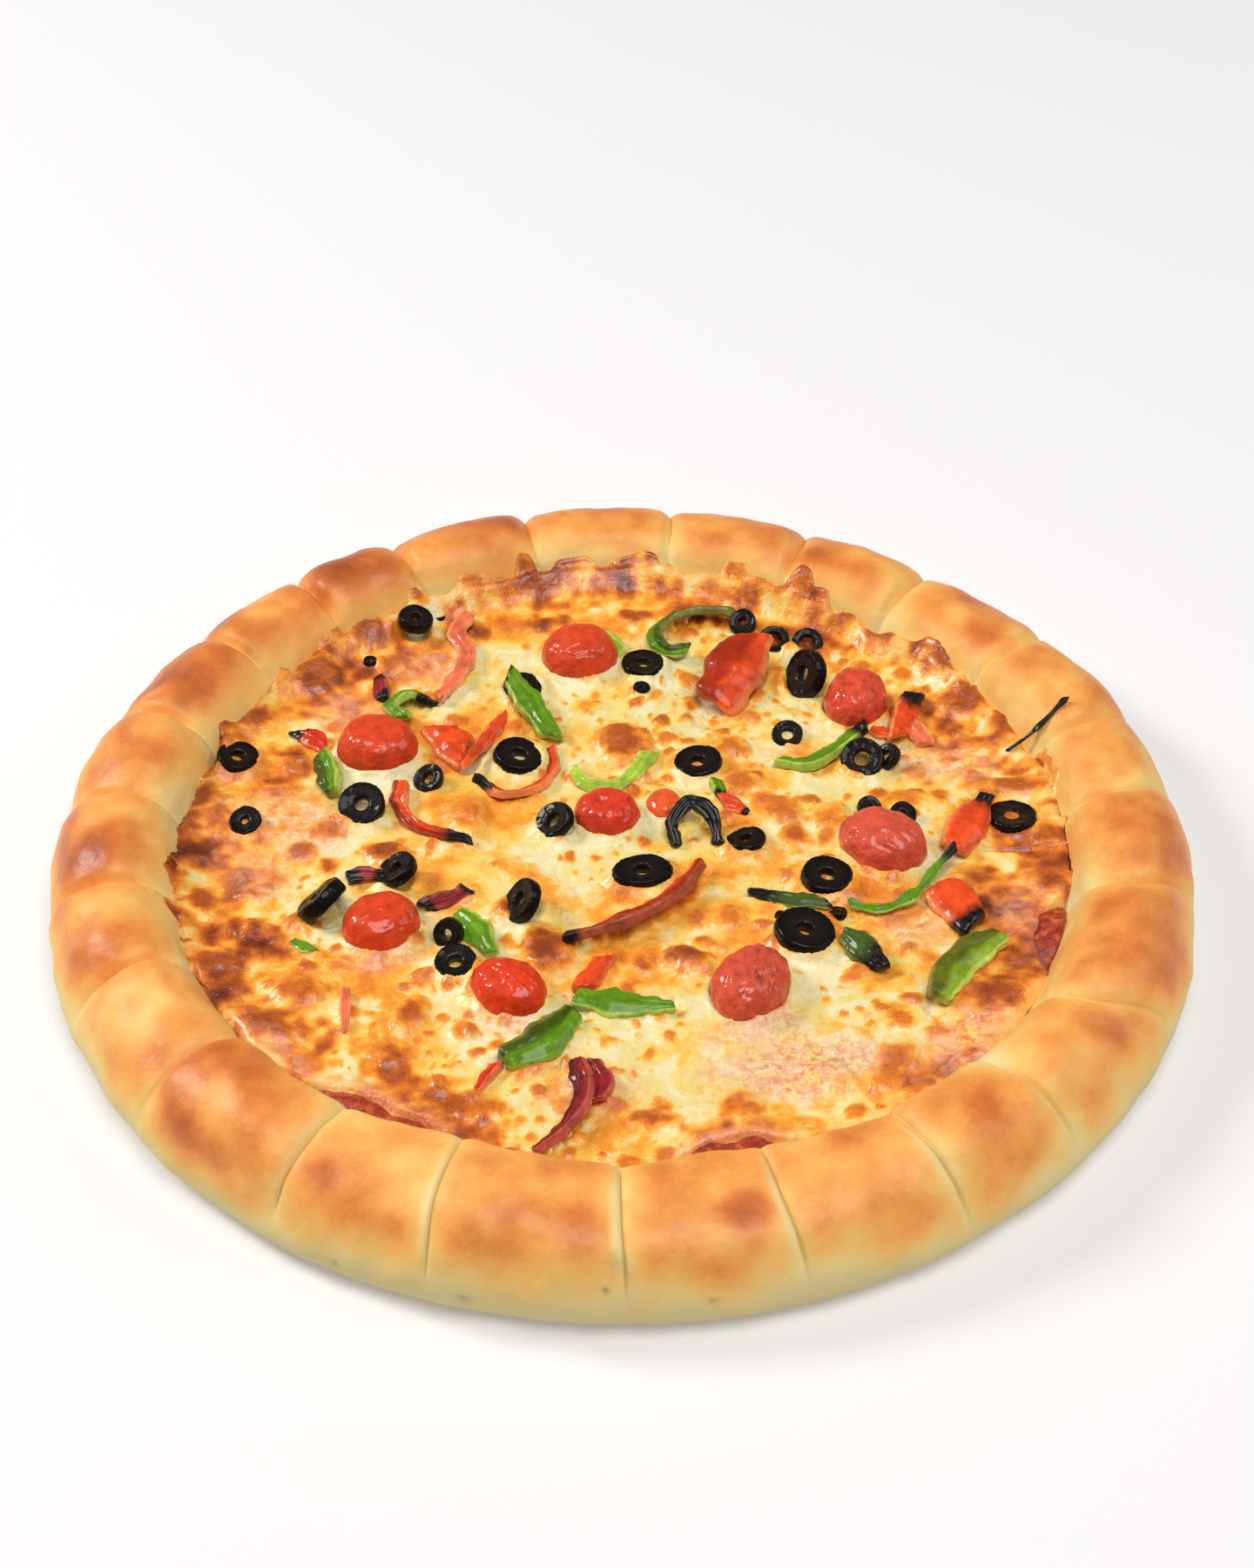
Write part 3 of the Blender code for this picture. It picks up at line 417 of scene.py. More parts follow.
def crust_material():
    g = Graph("baked_crust", Specular_IOR_Level=0.34)
    bake = g.field("bake")
    broad = g.grain(11, 4, 0.6)
    fine = g.grain(1.6, 4, 0.65)
    level = g.math("ADD", bake, g.math("MULTIPLY_ADD", broad, 0.34, -0.17))
    level = g.math("ADD", level, g.math("MULTIPLY_ADD", fine, 0.16, -0.08))
    colour = g.ramp(
        level, (0.0, (0.73, 0.60, 0.29)), (0.16, (0.79, 0.59, 0.22)), (0.32, (0.85, 0.50, 0.135)),
        (0.54, (0.83, 0.335, 0.072)), (0.76, (0.63, 0.175, 0.036)), (1.0, (0.34, 0.075, 0.018)),
    )
    speck = g.ramp(g.cells(2.6), (0.0, 1.0), (0.12, 0.0))
    speck = g.math("MULTIPLY", speck, g.ramp(g.grain(9, 2), (0.50, 0.0), (0.62, 1.0)))
    speck = g.math("MULTIPLY", speck, g.ramp(bake, (0.35, 0.0), (0.7, 0.55)))
    colour = g.mix(speck, colour, (0.50, 0.14, 0.04))
    colour = g.mix(g.math("MULTIPLY", g.field("cream"), 0.85), colour, (0.82, 0.69, 0.33))
    colour = g.mix(g.field("slit"), colour, (0.36, 0.25, 0.075))
    colour = g.mix(g.field("scorch"), colour, (0.10, 0.03, 0.012))
    rough = g.ramp(level, (0.15, 0.66), (0.55, 0.44), (0.9, 0.36))
    normal = g.bump(g.grain(0.7, 3, 0.6), 0.10, 0.5)
    normal = g.bump(g.grain(3.2, 3, 0.5), 0.35, 0.6, normal)
    return g.finish(colour, rough, normal)


def cheese_material():
    g = Graph("melted_cheese", Specular_IOR_Level=0.42)
    g.shader.inputs["Coat Weight"].default_value = 0.30
    g.shader.inputs["Coat Roughness"].default_value = 0.12
    toast = g.field("toast")
    red = g.field("red")
    broad = g.grain(6, 4, 0.62, 0.5)
    fine = g.grain(1.4, 4, 0.65)
    level = g.math("ADD", toast, g.math("MULTIPLY_ADD", broad, 0.44, -0.22))
    level = g.math("ADD", level, g.math("MULTIPLY_ADD", fine, 0.18, -0.09))
    colour = g.ramp(
        level, (0.0, (0.76, 0.64, 0.27)), (0.13, (0.82, 0.62, 0.18)), (0.25, (0.87, 0.50, 0.080)),
        (0.37, (0.88, 0.35, 0.034)), (0.50, (0.72, 0.20, 0.019)), (0.64, (0.48, 0.105, 0.012)),
        (0.80, (0.28, 0.050, 0.009)), (1.0, (0.12, 0.020, 0.006)),
    )
    milky = g.ramp(g.grain(12, 4, 0.55, 0.8), (0.46, 0.0), (0.58, 0.9))
    milky = g.math("MULTIPLY", milky, g.ramp(level, (0.15, 1.0), (0.34, 0.0)))
    colour = g.mix(milky, colour, (0.82, 0.73, 0.42))
    mottle = g.ramp(g.grain(2.4, 5, 0.72, 0.6), (0.42, 0.0), (0.60, 1.0))
    redness = g.math("MULTIPLY", red, mottle)
    colour = g.mix(redness, colour, (0.66, 0.13, 0.045))
    blush = g.math("MULTIPLY", red, g.ramp(g.grain(5.0, 4, 0.62, 0.8), (0.40, 0.08), (0.60, 0.72)))
    colour = g.mix(blush, colour, (0.86, 0.50, 0.33))
    fade = g.math("MULTIPLY", g.field("fade"), g.ramp(level, (0.32, 1.0), (0.50, 0.0)))
    colour = g.mix(fade, colour, (0.83, 0.47, 0.13))
    dark = g.ramp(g.grain(0.9, 3, 0.6), (0.60, 0.0), (0.74, 0.5))
    dark = g.math("MULTIPLY", dark, g.ramp(level, (0.36, 0.0), (0.65, 1.0)))
    colour = g.mix(dark, colour, (0.20, 0.04, 0.010))
    rough = g.ramp(g.grain(4, 3, 0.6), (0.35, 0.22), (0.65, 0.42))
    normal = g.bump(g.grain(0.9, 3, 0.6), 0.10, 0.8)
    normal = g.bump(g.grain(3.0, 3, 0.55, 0.4), 0.8, 1.0, normal)
    return g.finish(colour, rough, normal)


def sauce_material():
    g = Graph("baked_sauce", Specular_IOR_Level=0.5)
    colour = g.ramp(
        g.grain(3.5, 4, 0.65, 0.5), (0.30, (0.17, 0.014, 0.008)), (0.50, (0.33, 0.034, 0.012)),
        (0.70, (0.62, 0.14, 0.030)),
    )
    rough = g.ramp(g.grain(2.2, 3), (0.3, 0.25), (0.7, 0.5))
    normal = g.bump(g.grain(1.8, 4, 0.6), 0.7, 0.9)
    return g.finish(colour, rough, normal)


def topping_material(name, grain_size, bump_depth, roughness, shine, coat):
    """A finish for toppings: the paint, rubbed and spotted, under a coat of oil."""
    g = Graph(name, Specular_IOR_Level=shine)
    g.shader.inputs["Coat Weight"].default_value = coat
    g.shader.inputs["Coat Roughness"].default_value = 0.07
    paint = g.paint("paint")
    shade = g.ramp(g.grain(grain_size, 4, 0.6, 0.3), (0.30, 0.72), (0.55, 1.0), (0.78, 1.18))
    colour = g.mix(1.0, paint, shade, "MULTIPLY")
    rough = g.ramp(g.grain(grain_size * 0.8, 3), (0.3, roughness * 0.7), (0.7, roughness * 1.4))
    normal = g.bump(g.grain(grain_size * 0.45, 3, 0.6, 0.4), bump_depth, 0.8)
    normal = g.bump(g.grain(0.35, 2, 0.5), 0.05, 0.6, normal)
    return g.finish(colour, rough, normal)


# Meshes

def add_piece(name, points, faces, material, nodes, fields=None, paint=None):
    """A finished piece that rides with the pizza and stands for the named nodes."""
    mesh = bpy.data.meshes.new(name)
    mesh.from_pydata((np.asarray(points, float) * MM).tolist(), [], faces)
    for key, values in (fields or {}).items():
        layer = mesh.attributes.new(key, "FLOAT", "POINT")
        layer.data.foreach_set("value", np.asarray(values, np.float32))
    if paint is not None:
        layer = mesh.attributes.new("paint", "FLOAT_COLOR", "POINT")
        rgba = np.concatenate([paint, np.ones((len(paint), 1))], 1)
        layer.data.foreach_set("color", rgba.astype(np.float32).ravel())
    shell = bmesh.new()
    shell.from_mesh(mesh)
    bmesh.ops.recalc_face_normals(shell, faces=shell.faces)
    shell.to_mesh(mesh)
    shell.free()
    mesh.shade_smooth()
    mesh.materials.append(material)
    item = bpy.data.objects.new(name, mesh)
    bpy.context.scene.collection.objects.link(item)
    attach(item, "root")
    if nodes:
        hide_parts(*nodes)
    return item


def drawn_in(degrees):
    return sum(
        amount * (1 - smooth(0, half_width, degrees_apart(degrees, middle)))
        for middle, half_width, amount in DRAWN_IN
    )


LOBE_COLUMNS = 40
CRUST_ROWS = 100
# Grid rows from the inner foot up to just short of the crown
CROWN_ROWS = int(5.4 / (len(CRUST_SECTION) - 1) * CRUST_ROWS)
MEAN_RADIUS = 158
# Lumps of the dough: height, grain, seed
DOUGH_LUMPS = ((1.2, 17, 3), (0.6, 8, 4), (0.10, 3, 5))
SLIT_HALF_WIDTH = 0.45
# Radii between which the inner slope is tabled, and the step
SLOPE_RADII = (120.0, 158.0, 0.5)
# How many columns to each side the cheese bridges a slit
BRIDGE = 4
# How steeply each lobe rises at its first and last fold; 4 is an even pillow
LOBE_EDGES = (
    (5, 3), (5, 3), (4, 4), (3, 6), (3, 7), (3, 7), (3, 6), (3, 5), (4, 5), (4, 5), (4, 4), (4, 4),
    (4, 4), (4, 4), (5, 4), (5, 3.5), (5, 3), (6, 3), (7, 3), (7, 3), (7, 3), (6, 3), (5, 3),
)
# How far each fold leans from a straight spoke, in degrees from its inner to its outer end
FOLD_LEANS = (
    0.5, 0.7, 0.7, 0.6, 5.5, 3.7, 2.9, 1.9, 1.6, 1.2, 1.1, 0.8,
    -0.5, -0.7, -1.1, -0.5, -0.5, -1.0, -1.3, -0.2, 0.0, -0.1, 1.1,
)
# How deep the slit at the bottom of each fold is
SLIT_DEPTHS = (
    1.2, 1.2, 1.1, 1.0, 0.7, 0.5, 0.4, 0.4, 0.3, 0.3, 0.3, 0.3,
    0.3, 0.3, 0.3, 0.3, 0.3, 0.3, 0.3, 0.4, 0.6, 1.1, 1.2,
)
# Share of a fold's full depth: the front ones are pressed in less than those behind
FOLD_SHARES = (
    0.34, 0.38, 0.48, 0.62, 0.85, 1.0, 1.0, 1.0, 1.0, 1.0, 1.1, 1.1,
    1.1, 1.1, 1.1, 1.0, 1.0, 1.0, 0.95, 0.85, 0.7, 0.42, 0.34,
)
# How clear the cream band beside each fold is
CREAM_BANDS = (
    1.0, 0.8, 0.6, 0.4, 0.2, 0.0, 0.0, 0.0, 0.0, 0.0, 0.0, 0.0,
    0.0, 0.0, 0.0, 0.0, 0.0, 0.0, 0.0, 0.0, 0.3, 0.6, 1.0,
)


class CrustForm:
    """The rim's surface as a grid of points: rows up, over and down, columns round."""

    def __init__(self):
        picker = random.Random(7)
        folds = FOLD_ANGLES + (FOLD_ANGLES[0] + 360,)
        degrees, steps, lobes, swells = [], [], [], []
        for lobe in range(len(FOLD_ANGLES)):
            swell = picker.uniform(-LOBE_UNEVEN, LOBE_UNEVEN)
            for k in range(LOBE_COLUMNS):
                even = k / LOBE_COLUMNS
                step = 0.45 * even + 0.55 * (0.5 - 0.5 * math.cos(math.pi * even))
                steps.append(step)
                degrees.append(folds[lobe] + (folds[lobe + 1] - folds[lobe]) * step)
                lobes.append(lobe)
                swells.append(swell)
        self.degrees = np.array(degrees)
        self.steps = np.array(steps)
        self.lobes = np.array(lobes)
        self.rows = np.linspace(0, len(CRUST_SECTION) - 1, CRUST_ROWS)
        section = spline(
            [(r, z, d, b) for (r, z), d, b in zip(CRUST_SECTION, FOLD_DEPTH, BULGE_SHARES)], self.rows,
        )
        base_r, base_z = section[:, 0][:, None], np.maximum(section[:, 1], 0)[:, None]
        depth = np.maximum(section[:, 2], 0)[:, None]
        across = np.abs(2 * self.steps - 1)
        edges = np.array(LOBE_EDGES, float)
        count = len(FOLD_ANGLES)
        power = np.where(self.steps < 0.5, edges[self.lobes, 0], edges[self.lobes, 1])
        shoulder = across ** power
        crease = np.maximum(0, (across - CREASE_START) / (1 - CREASE_START)) ** 1.3
        start = np.where(self.steps < 0.5, self.lobes, (self.lobes + 1) % count)
        fold = (1 - CREASE_SHARE) * shoulder + CREASE_SHARE * crease
        fold *= 1 - (1 - np.array(FOLD_SHARES)[start]) * smooth(0.2, 0.8, across)
        crown = CROWN_SHARE * np.array(swells) * (1 - shoulder)
        # Each fold's own line leans a little, so the columns lean with it
        leans = np.array(FOLD_LEANS)
        lean = leans[self.lobes] * (1 - self.steps) + leans[(self.lobes + 1) % count] * self.steps
        along = smooth(4.5, 9.0, self.rows)[:, None] - 0.5
        angle = np.radians(self.degrees + lean * along)
        inward_r, inward_z = ROLL_CENTRE[0] - base_r, ROLL_CENTRE[1] - base_z
        size = np.hypot(inward_r, inward_z)
        inward_r, inward_z = inward_r / size, inward_z / size
        turn, amount = np.array(FRONT_BULGE).T
        bulge = np.interp(self.degrees % 360, turn, amount)
        radius = base_r - drawn_in(self.degrees) - np.maximum(section[:, 3], 0)[:, None] * bulge
        x, y = radius * np.cos(angle), radius * np.sin(angle)
        lively = smooth(0.5, 3.0, self.rows)[:, None] * (1 - smooth(9.2, 10.6, self.rows))[:, None]
        lump = sum(high * noise(x, y, base_z, grain, seed) for high, grain, seed in DOUGH_LUMPS)
        # The narrow slit at the bottom of a fold
        span = np.diff(np.array(folds))[self.lobes]
        self.from_fold = np.minimum(self.steps, 1 - self.steps) * span * math.pi / 180 * MEAN_RADIUS
        slit_depth = np.array(SLIT_DEPTHS)[start]
        reach = smooth(3.4, 5.2, self.rows)[:, None] * (1 - smooth(7.6, 9.0, self.rows))[:, None]
        self.slit = np.exp(-(self.from_fold / SLIT_HALF_WIDTH) ** 2)[None, :] * reach
        move = depth * (fold - crown)[None, :] + lively * lump + self.slit * slit_depth[None, :]
        self.radius = radius + inward_r * move
        self.height = np.maximum(base_z + inward_z * move, 0)
        self.height[-1] = 0
        self.angle = angle
        self.shoulder = shoulder
        self.slit_depth = slit_depth

    def points(self):
        return np.stack([
            self.radius * np.cos(self.angle), self.radius * np.sin(self.angle), self.height,
        ], -1)

    def inner_slope(self, degrees, radius, bridged=True):
        """Height of the rim's inner slope at places inside its crown."""
        grid_r = np.arange(*SLOPE_RADII)
        table = np.array([
            np.interp(grid_r, np.maximum.accumulate(radii), heights, left=FLOOR_TOP)
            for radii, heights in zip(self.radius[:CROWN_ROWS].T, self.height[:CROWN_ROWS].T)
        ])
        if bridged:
            count = 2 * BRIDGE + 1
            wide = np.concatenate([table[-BRIDGE:], table, table[:BRIDGE]])
            table = np.maximum(table, sum(wide[k:k + len(table)] for k in range(count)) / count)
        turn = (degrees - FOLD_ANGLES[0]) % 360
        columns = np.interp(turn, self.degrees - FOLD_ANGLES[0], np.arange(len(self.degrees)), right=0)
        c0 = np.floor(columns).astype(int) % len(self.degrees)
        c1 = (c0 + 1) % len(self.degrees)
        fc = columns - np.floor(columns)
        place = np.clip((radius - grid_r[0]) / SLOPE_RADII[2], 0, len(grid_r) - 1.001)
        r0 = place.astype(int)
        fr = place - r0
        near = table[c0, r0] * (1 - fr) + table[c0, r0 + 1] * fr
        far = table[c1, r0] * (1 - fr) + table[c1, r0 + 1] * fr
        return near * (1 - fc) + far * fc


# Pits and spots of the crust: angle, row, radius, depth, scorch
CRUST_MARKS = (
    (243.6, 9.4, 1.5, 0.8, 0.25), (255.6, 9.3, 1.6, 1.0, 0.3), (277.3, 9.0, 1.4, 0.8, 0.3),
    (269.2, 7.4, 2.6, 0.0, 0.22), (90.4, 6.6, 1.0, 0.3, 0.9), (30.0, 7.6, 1.4, 0.2, 0.9),
    (268.4, 8.3, 1.0, 0.5, 0.5), (145.3, 4.2, 3.4, -0.5, 0.28), (158.7, 4.8, 3.4, -0.4, 0.26),
    (118.2, 3.9, 3.6, -0.6, 0.26), (174.0, 5.0, 1.6, 0.0, 0.3), (184.0, 6.0, 1.0, 0.0, 0.4),
)


FRONT = 275
# Browning of the crown and of the inner slope: base, patches, away from the front, at a fold
CROWN_BAKE = (0.42, 0.50, 0.13, -0.13)
INSIDE_BAKE = (0.25, 0.26, 0.08, -0.16)
# The darkest lobe top at the front, right of the first fold: x, y, added browning
DARK_TOP = (33, -156, 0.34)


def crust_bake(form, x, y, z):
    """How brown the crust is at each point of its grid."""
    rows = form.rows[:, None]
    patch = fractal(x, y, z, 20, 3, 11)
    middle = 1 - form.shoulder[None, :]
    lobe_tone = np.random.default_rng(5).uniform(-0.05, 0.07, len(FOLD_ANGLES))[form.lobes]
    away = smooth(25, 75, degrees_apart(form.degrees, FRONT))[None, :]
    base, patchy, rear, folded = CROWN_BAKE
    bake = base + 0.10 * middle + patchy * patch + lobe_tone[None, :] + rear * away
    bake = bake + folded * np.exp(-(form.from_fold / 5.0) ** 2)[None, :]
    # The inner slope stays golden and the lower wall pale, both with a soft border
    inner = smooth(2.4, 4.8, rows)
    outer = np.where(rows > 6, smooth(5, 28, z + 3.5 * noise(x, y, z, 14, 13)), 1.0)
    base, patchy, rear, folded = INSIDE_BAKE
    inside = base + patchy * patch + rear * away + folded * np.exp(-(form.from_fold / 6.0) ** 2)[None, :]
    bake = bake * inner * outer + inside * (1 - inner)
    dark_x, dark_y, browner = DARK_TOP
    return bake + browner * (1 - smooth(3, 13, np.hypot(x - dark_x, (y - dark_y) * 1.3)))


def cream_band(form, x, y, z):
    """The clear cream band along one side of the front folds."""
    rows = form.rows[:, None]
    before = form.steps > 0.5
    fold = np.where(before, (form.lobes + 1) % len(FOLD_ANGLES), form.lobes)
    strong = np.array(CREAM_BANDS)[fold] * before
    cream = (1 - smooth(0.8, 3.8, form.from_fold + 1.1 * noise(x, y, z, 9, 14))) * strong
    return cream * smooth(4.0, 5.6, rows) * (1 - smooth(6.8, 8.6, rows))


def build_crust(form, material):
    points = form.points()
    x, y, z = points[..., 0], points[..., 1], points[..., 2]
    bake = crust_bake(form, x, y, z)
    cream = cream_band(form, x, y, z)
    slit = form.slit * 0.62 * np.clip(form.slit_depth / 1.5, 0, 1)[None, :]
    scorch = np.zeros_like(bake)
    for degrees, row, radius, depth, burn in CRUST_MARKS:
        r, c = np.argmin(np.abs(form.rows - row)), np.argmin(degrees_apart(form.degrees, degrees))
        centre = points[r, c].copy()
        apart = np.linalg.norm(points - centre, axis=-1)
        share = np.exp(-(apart / radius) ** 2)
        scorch = np.maximum(scorch, burn * share)
        core = *(centre[:2] * ROLL_CENTRE[0] / np.hypot(*centre[:2])), ROLL_CENTRE[1]
        inward = centre - np.array(core)
        inward = inward / np.linalg.norm(inward)
        points -= share[..., None] * depth * inward
    return add_piece(
        "crust_dressed", points.reshape(-1, 3), capped(*points.shape[:2]), material, ["crust"],
        {"bake": bake.ravel(), "slit": slit.ravel(), "scorch": scorch.ravel(), "cream": cream.ravel()},
    )


def band_share(degrees):
    """How much of the sauce shows beyond the cheese at each angle, and the band's width."""
    share, width = np.zeros_like(degrees), np.zeros_like(degrees)
    for start, end, band in SAUCE_BANDS:
        rise = (end - start) * BAND_FADE
        here = smooth(start, start + rise, degrees) * (1 - smooth(end - rise, end, degrees))
        width = np.where(here > share, band, width)
        share = np.maximum(share, here)
    return share, width


def sauce_height(radius, share):
    lip = SAUCE_LIP * smooth(108, 119, radius) + 0.12 * np.maximum(0.0, radius - 122)
    return SAUCE_TOP + share * lip


def climb_height(degrees):
    a = np.radians(degrees)
    rough = np.array([lattice_noise.noise((6 * math.cos(t), 6 * math.sin(t), 1.7)) for t in a])
    climb = CLIMB + CLIMB_UNEVEN * rough
    climb += CLIMB_AT_BACK * (1 - smooth(30, 85, np.abs(degrees % 360 - 90)))
    return np.minimum(climb, CLIMB_LIMIT)


SAUCE_COLUMNS = 720
SAUCE_ROWS = 26
SAUCE_RADII = (112, 137.0)
SAUCE_BOTTOM = FLOOR_TOP - 0.4
# Where the layer runs on into the dough, it stays this far below the dough's face
BURIED_DEPTH = 1.2


def build_sauce(form, material):
    degrees = np.linspace(0, 360, SAUCE_COLUMNS, endpoint=False)
    share, _ = band_share(degrees)
    across = np.linspace(0, 1, SAUCE_ROWS)[:, None]
    inner, outer = SAUCE_RADII
    radius = inner + (outer - inner - drawn_in(degrees)[None, :]) * across
    angle = np.radians(degrees)[None, :]
    x, y = radius * np.cos(angle), radius * np.sin(angle)
    lump = 0.9 * fractal(x, y, 0 * x, 6, 3, 31)
    height = sauce_height(radius, share[None, :]) + lump * share[None, :]
    wide = np.broadcast_to(degrees[None, :], radius.shape)
    buried = form.inner_slope(wide, radius, False) > height
    below = form.inner_slope(wide, radius - 2.0, False) - BURIED_DEPTH
    height = np.where(buried, np.minimum(height, below), height)
    top = np.stack([x, y, height], -1)
    low_inner, low_outer = top[0].copy(), top[-1].copy()
    low_inner[:, 2] = SAUCE_BOTTOM
    low_outer[:, 2] = SAUCE_BOTTOM
    points = np.concatenate([low_inner[None], top, low_outer[None]]).reshape(-1, 3)
    faces = looped(SAUCE_ROWS + 2, SAUCE_COLUMNS)
    return add_piece("sauce_dressed", points, faces, material, ["tomato_sauce"])


def route_points(route, per_span):
    knots = np.array(route, float)
    t = np.arange((len(knots) - 1) * per_span + 1) / per_span
    return spline(knots, t)


def cheese_seats():
    seats = [(x, y, (a + b) / 2, TOMATO_SEAT_DEPTH) for x, y, a, b, _, _, _ in TOMATOES]
    seats += [(x, y, r, OLIVE_SEAT_DEPTH) for x, y, r, _, _, _, _ in OLIVES]
    seats.append((LONG_OLIVE[0], LONG_OLIVE[1], (LONG_OLIVE[2] + LONG_OLIVE[3]) / 2, OLIVE_SEAT_DEPTH))
    for route, widths, _, _ in GREEN_PEPPERS + RED_PEPPERS:
        seats += [(p[0], p[1], widths[1], STRIP_SEAT_DEPTH) for p in route_points(route, STRIP_SPAN)]
    return seats


def ellipse(x, y, cx, cy, long, wide, turn):
    """Distance from a turned ellipse's middle, 1 on its outline."""
    c, s = math.cos(math.radians(turn)), math.sin(math.radians(turn))
    dx, dy = x - cx, y - cy
    return np.hypot((dx * c + dy * s) / long, (dy * c - dx * s) / wide)


def spots(x, y, size, seed):
    """Spots scattered on an uneven lattice: distance from one's middle, and its own number."""
    ix, iy = np.floor(x / size).astype(np.int64), np.floor(y / size).astype(np.int64)
    best, own = np.full(x.shape, 9.0), np.zeros_like(x)
    for dx in (-1, 0, 1):
        for dy in (-1, 0, 1):
            cx, cy = ix + dx, iy + dy
            away_x = x - (cx + 0.5 + 0.36 * corner(cx, cy, 0, seed)) * size
            away_y = y - (cy + 0.5 + 0.36 * corner(cx, cy, 1, seed)) * size
            q = np.hypot(away_x, away_y) / (size * (0.30 + 0.13 * corner(cx, cy, 2, seed)))
            own = np.where(q < best, corner(cx, cy, 3, seed), own)
            best = np.minimum(best, q)
    return best, own


# How much of the table's toast the blisters take on
BROWNING = 0.80
# How far the coordinates are bent, so that no blister or spot is a plain oval
BEND = 2.6
# Small spots: lattice size, share shown, rise, toast, seed
SPOTS = ((9.5, 0.46, 1.0, 0.55, 201), (5.2, 0.42, 0.5, 0.45, 202), (3.0, 0.24, 0.2, 0.38, 203))
# The pale area of tomato pulp at the front: x, y, half length, half width, turn
PULP = (44, -90, 30, 17, 10)


def cheese_level(x, y):
    """Height of the melted surface away from the rim, and how toasted it is."""
    height = np.full(x.shape, CHEESE_TOP)
    for size, roll in CHEESE_ROLLS:
        height += roll * np.array([
            lattice_noise.noise((a / size, b / size, size)) for a, b in zip(x.ravel(), y.ravel())
        ]).reshape(x.shape)
    bent_x = x + BEND * fractal(x, y, 0 * x, 8, 3, 41)
    bent_y = y + BEND * fractal(x, y, 0 * x, 8, 3, 42)
    grain = fractal(x, y, 0 * x, 3.4, 3, 45)
    toast = np.zeros_like(x)
    rise = np.zeros_like(x)
    for cx, cy, long, wide, turn, high, brown in BLISTERS:
        q = ellipse(bent_x, bent_y, cx, cy, long, wide, turn)
        dome, foot = np.sqrt(np.maximum(0, 1 - q * q)), 1 - smooth(0.9, 1.5, q)
        rise = np.maximum(rise, high * dome + 0.25 * high * foot)
        core, halo = 1 - smooth(0.3, 1.15, q + 0.35 * grain), 1 - smooth(0.95, 1.7, q + 0.3 * grain)
        toast = np.maximum(toast, BROWNING * brown * (0.42 + 0.58 * core) * halo)
    zone = 0.75 + 0.9 * fractal(x, y, 0 * x, 34, 2, 46) - 0.6 * (1 - smooth(0.6, 1.3, ellipse(x, y, *PULP)))
    for size, share, high, brown, seed in SPOTS:
        q, pick = spots(bent_x, bent_y, size, seed)
        least = 1 - 2 * share * np.clip(zone, 0.05, 1.4)
        shown = smooth(0, 0.2, pick - least)
        rise += shown * high * np.sqrt(np.maximum(0, 1 - q * q))
        toast = np.maximum(toast, shown * brown * (1 - smooth(0.5, 1.5, q + 0.3 * grain)))
    press = np.zeros_like(x)
    for sx, sy, radius, depth in cheese_seats():
        away = np.hypot(x - sx, y - sy) - radius
        press = np.maximum(press, depth * (1 - smooth(-3.0, -0.4, away)))
    bumps = 0.6 * fractal(x, y, 0 * x, 9, 4, 43) + 0.25 * fractal(x, y, 0 * x, 2.6, 2, 44)
    return height + rise + bumps - press, toast


CHEESE_GRID = 284
# How high the cheese's rounded edge stands, how wide it is, and how deep it ends in what is under it
CHEESE_LIP = 0.8
CHEESE_LIP_WIDTH = 4.0
SINK = 1.3
# The grid is plain up to this radius, and no edge reaches past the other
PLAIN_RADIUS = 134.0
CHEESE_FOOT = 131.0
EDGE_LIMIT = 150.5
# How ragged the edge is: amount, grain, octaves, seed
RAGGED = ((2.6, 15, 4, 51), (0.5, 4, 2, 52))
# How far round toppings, strips and sunk bits the cheese is drawn up, and how high
TOPPING_HUG = (6.0, 3.2)
STRIP_HUG = (4.0, 1.6)
BIT_HUG = (3.0, 1.1)


